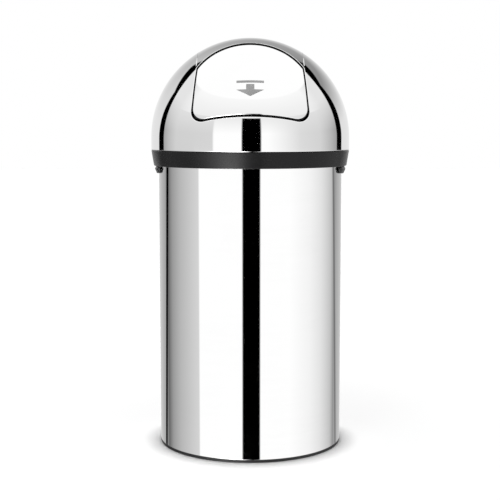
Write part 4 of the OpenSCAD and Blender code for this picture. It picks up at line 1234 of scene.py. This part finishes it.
class Studio(bpy.types.Operator):
    """Makes the floor, the studio's light and the camera"""
    bl_idname = "push_bin.studio"
    bl_label = "Studio"

    def execute(self, context):
        s = context.scene.push_bin.studio
        self.make_floor(s)
        self.make_world(context, s)
        self.make_lamps(s)
        data = bpy.data.cameras.new("camera")
        data.lens, data.sensor_width = s.lens, 36
        camera = bpy.data.objects.new("camera", data)
        camera.location = (s.aside, -s.distance, s.height)
        camera.rotation_euler = (math.pi / 2 - s.dip, 0, 0)
        context.scene.collection.objects.link(camera)
        context.scene.camera = camera
        context.scene.view_settings.view_transform = "Standard"
        return {"FINISHED"}

    def make_floor(self, s):
        size = 12
        mesh = bpy.data.meshes.new("floor")
        mesh.from_pydata([(-size, -size, 0), (size, -size, 0), (size, size, 0), (-size, size, 0)], [],
                         [(0, 1, 2, 3)])
        floor = bpy.data.objects.new("floor", mesh)
        bpy.context.scene.collection.objects.link(floor)
        made = bpy.data.materials.new("studio_floor")
        made.use_nodes = True
        tree = made.node_tree
        tree.nodes.clear()
        diffuse = add_node(tree, "ShaderNodeBsdfDiffuse")
        diffuse.inputs["Color"].default_value = (*s.floor, 1)
        glow = add_node(tree, "ShaderNodeEmission")
        light = add_node(tree, "ShaderNodeLightPath")
        away = add_node(tree, "ShaderNodeVectorMath", operation="LENGTH")
        feed(tree, away.inputs[0], add_node(tree, "ShaderNodeTexCoord").outputs["Object"])
        # The glow falls to a fifth within 0.25 m of the middle, so the floor round the bin is darker than the
        # far floor. This is painted shade round the foot, added to the lamps' real shadow.
        far = remap(tree, away.outputs["Value"], 0.25, 0.7, 0.2 * s.floor_glow, s.floor_glow)
        feed(tree, glow.inputs["Strength"], calc(tree, "MULTIPLY", light.outputs["Is Camera Ray"], far))
        total = add_node(tree, "ShaderNodeAddShader")
        feed(tree, total.inputs[0], diffuse.outputs[0])
        feed(tree, total.inputs[1], glow.outputs[0])
        clear = add_node(tree, "ShaderNodeBsdfTransparent")
        choose = add_node(tree, "ShaderNodeMixShader")
        feed(tree, choose.inputs[0], light.outputs["Is Glossy Ray"])
        feed(tree, choose.inputs[1], total.outputs[0])
        feed(tree, choose.inputs[2], clear.outputs[0])
        feed(tree, add_node(tree, "ShaderNodeOutputMaterial").inputs["Surface"], choose.outputs[0])
        mesh.materials.append(made)

    def low_walls(self, tree, azimuth, height, s):
        """What the upright tube mirrors: the walls just under the horizon."""
        walls = wall_ramp(tree, azimuth, [
            (-180, 205), (-155, 188), (-135, 162), (-126, 100), (-115, 152), (-98, 182), (-67, 212),
            (-66, 255), (50, 255), (80, 243), (99, 227), (122, 192), (131, 145), (142, 170), (155, 182),
            (180, 205)])
        lean = calc(tree, "MULTIPLY", height, s.flag_lean)
        left = calc(tree, "SUBTRACT", azimuth, lean)
        right = calc(tree, "ADD", azimuth, calc(tree, "MULTIPLY", lean, 1.6))
        walls = mix_colour(tree, between(tree, left, -128.3, -121.9, 0.5), walls, grey(0))
        return mix_colour(tree, between(tree, right, 122.3, 127.3, 1.2), walls, grey(112))

    def high_walls(self, tree, azimuth, height, place, s):
        """What the dome mirrors: walls that lighten upwards, a framed backdrop and a white ceiling."""
        walls = wall_ramp(tree, azimuth, [
            (-118, 160), (-108, 186), (-94, 208), (-43, 212), (-42, 255), (20, 255), (35, 243), (60, 218),
            (87, 210), (104, 184), (118, 155)])
        walls = mix_colour(tree, remap(tree, height, 5, 28), walls, grey(228))
        distance, across, half = backdrop_frame(tree, *place, s)
        shade = wall_ramp(tree, calc(tree, "MULTIPLY", across, 100.0), [(-100, 205), (-20, 168), (60, 142)])
        backdrop = mix_colour(tree, remap(tree, height, 6, 29), grey(222), shade)
        edge = 0.02
        inside = remap(tree, distance, -edge, edge, 1.0, 0.0)
        behind = remap(tree, place[1], 0.0, 0.1)
        walls = mix_colour(tree, calc(tree, "MULTIPLY", inside, behind), walls, backdrop)
        away = calc(tree, "SUBTRACT", calc(tree, "ABSOLUTE", distance), half)
        line = remap(tree, away, -edge, edge, 1.0, 0.0)
        open_top = remap(tree, calc(tree, "ABSOLUTE", across), 0.67, 0.75)
        rim = calc(tree, "MULTIPLY", line, calc(tree, "MULTIPLY", behind, open_top))
        walls = mix_colour(tree, rim, walls, grey(0))
        ceiling = calc(tree, "MULTIPLY", remap(tree, height, 22.3, 22.9),
                       remap(tree, calc(tree, "ABSOLUTE", azimuth), 80, 100, 1.0, 0.0))
        lit = mix_colour(tree, remap(tree, height, 24, 55), grey(238), grey(255))
        walls = mix_colour(tree, ceiling, walls, lit)
        return mix_colour(tree, remap(tree, height, 44.0, 45.5), walls, grey(255))

    def make_world(self, context, s):
        """White for the camera, even light for matt surfaces, and walls with softboxes and black flags
        for polished metal. The walls' levels are those that the steel shows, so its own loss is made up."""
        world = bpy.data.worlds.new("studio")
        context.scene.world = world
        world.use_nodes = True
        world.cycles.sampling_method = "NONE"
        tree = world.node_tree
        tree.nodes.clear()
        split = add_node(tree, "ShaderNodeSeparateXYZ")
        feed(tree, split.inputs[0], add_node(tree, "ShaderNodeTexCoord").outputs["Generated"])
        x, y, z = place = list(split.outputs)
        azimuth = calc(tree, "DEGREES", calc(tree, "ARCTAN2", x, calc(tree, "MULTIPLY", y, -1.0)))
        height = calc(tree, "DEGREES", calc(tree, "ARCSINE", z))
        low = self.low_walls(tree, azimuth, height, s)
        high = self.high_walls(tree, azimuth, height, place, s)
        walls = mix_colour(tree, remap(tree, height, -1.9, -1.5), low, high)
        flag = calc(tree, "MULTIPLY", between(tree, azimuth, -9.6, 12.2, 0.8),
                    remap(tree, height, 22.3, 22.9, 1.0, 0.0))
        walls = mix_colour(tree, flag, walls, grey(0))
        pool = calc(tree, "MULTIPLY", remap(tree, height, -19, -17, 1.0, 0.0),
                    calc(tree, "MULTIPLY", remap(tree, azimuth, -62, -26, smooth=True),
                         remap(tree, azimuth, -22, 4, 1.0, 0.0, smooth=True)))
        walls = mix_colour(tree, pool, walls, (s.pool,) * 3)
        gain = add_node(tree, "ShaderNodeVectorMath", operation="SCALE")
        feed(tree, gain.inputs[0], walls)
        gain.inputs["Scale"].default_value = 1 / context.scene.push_bin.finishes.steel[0]

        light = add_node(tree, "ShaderNodeLightPath")
        shown = mix_colour(tree, light.outputs["Is Glossy Ray"], (s.fill,) * 3, gain.outputs[0])
        clear = calc(tree, "MAXIMUM", light.outputs["Is Camera Ray"], light.outputs["Is Transmission Ray"])
        shown = mix_colour(tree, clear, shown, (1, 1, 1))
        background = add_node(tree, "ShaderNodeBackground")
        feed(tree, background.inputs["Color"], shown)
        feed(tree, add_node(tree, "ShaderNodeOutputWorld").inputs["Surface"], background.outputs[0])

    def make_lamps(self, s):
        """A softbox at the left, and a lamp overhead that only draws the shadow round the foot."""
        softbox = bpy.data.lights.new("left_softbox", "AREA")
        softbox.shape, softbox.size, softbox.size_y = "RECTANGLE", 0.8, 1.1
        softbox.energy = s.key * math.pi * softbox.size * softbox.size_y
        side = bpy.data.objects.new("left_softbox", softbox)
        reach, turned = 1.9, math.radians(-27)
        side.location = (reach * math.sin(turned), -reach * math.cos(turned), 0.62)
        side.rotation_euler = (Vector((0, 0, 0.5)) - side.location).to_track_quat("-Z", "Y").to_euler()
        sun = bpy.data.lights.new("overhead", "SUN")
        sun.energy, sun.angle = s.overhead, math.radians(5)
        above = bpy.data.objects.new("overhead", sun)
        above.rotation_euler = (math.radians(-0.5), 0, 0)
        side.visible_glossy = above.visible_glossy = False
        for made in (side, above):
            bpy.context.scene.collection.objects.link(made)


# ---------- panel and registration ----------

STEPS = (BodyTube, BaseRing, TopCollar, HandGrips, Bucket, BailSleeve, LidRing, Dome, DomeCreases,
         Flap, ReturnSprings, Hardware, Studio)


class PushBinPanel(bpy.types.Panel):
    """Lists the steps that make the bin"""
    bl_idname = "VIEW3D_PT_push_bin"
    bl_label = "Push bin"
    bl_space_type = "VIEW_3D"
    bl_region_type = "UI"
    bl_category = "Push bin"

    def draw(self, context):
        settings = context.scene.push_bin
        for step in STEPS:
            self.layout.operator(step.bl_idname)
        for group in ("body", "grips", "bucket", "lid", "mouth", "springs", "finishes", "studio"):
            box = self.layout.box()
            values = getattr(settings, group)
            for name in values.__annotations__:
                box.prop(values, name)


CLASSES = (BodySizes, GripSizes, BucketSizes, LidSizes, MouthSizes, SpringSizes, Finishes,
           StudioSettings, PushBinSettings, *STEPS, PushBinPanel)


def register():
    for made in CLASSES:
        bpy.utils.register_class(made)
    bpy.types.Scene.push_bin = PointerProperty(type=PushBinSettings)


def unregister():
    del bpy.types.Scene.push_bin
    for made in reversed(CLASSES):
        bpy.utils.unregister_class(made)


def main():
    register()
    for step in STEPS:
        group, name = step.bl_idname.split(".")
        getattr(getattr(bpy.ops, group), name)()


if __name__ == "__main__":
    main()
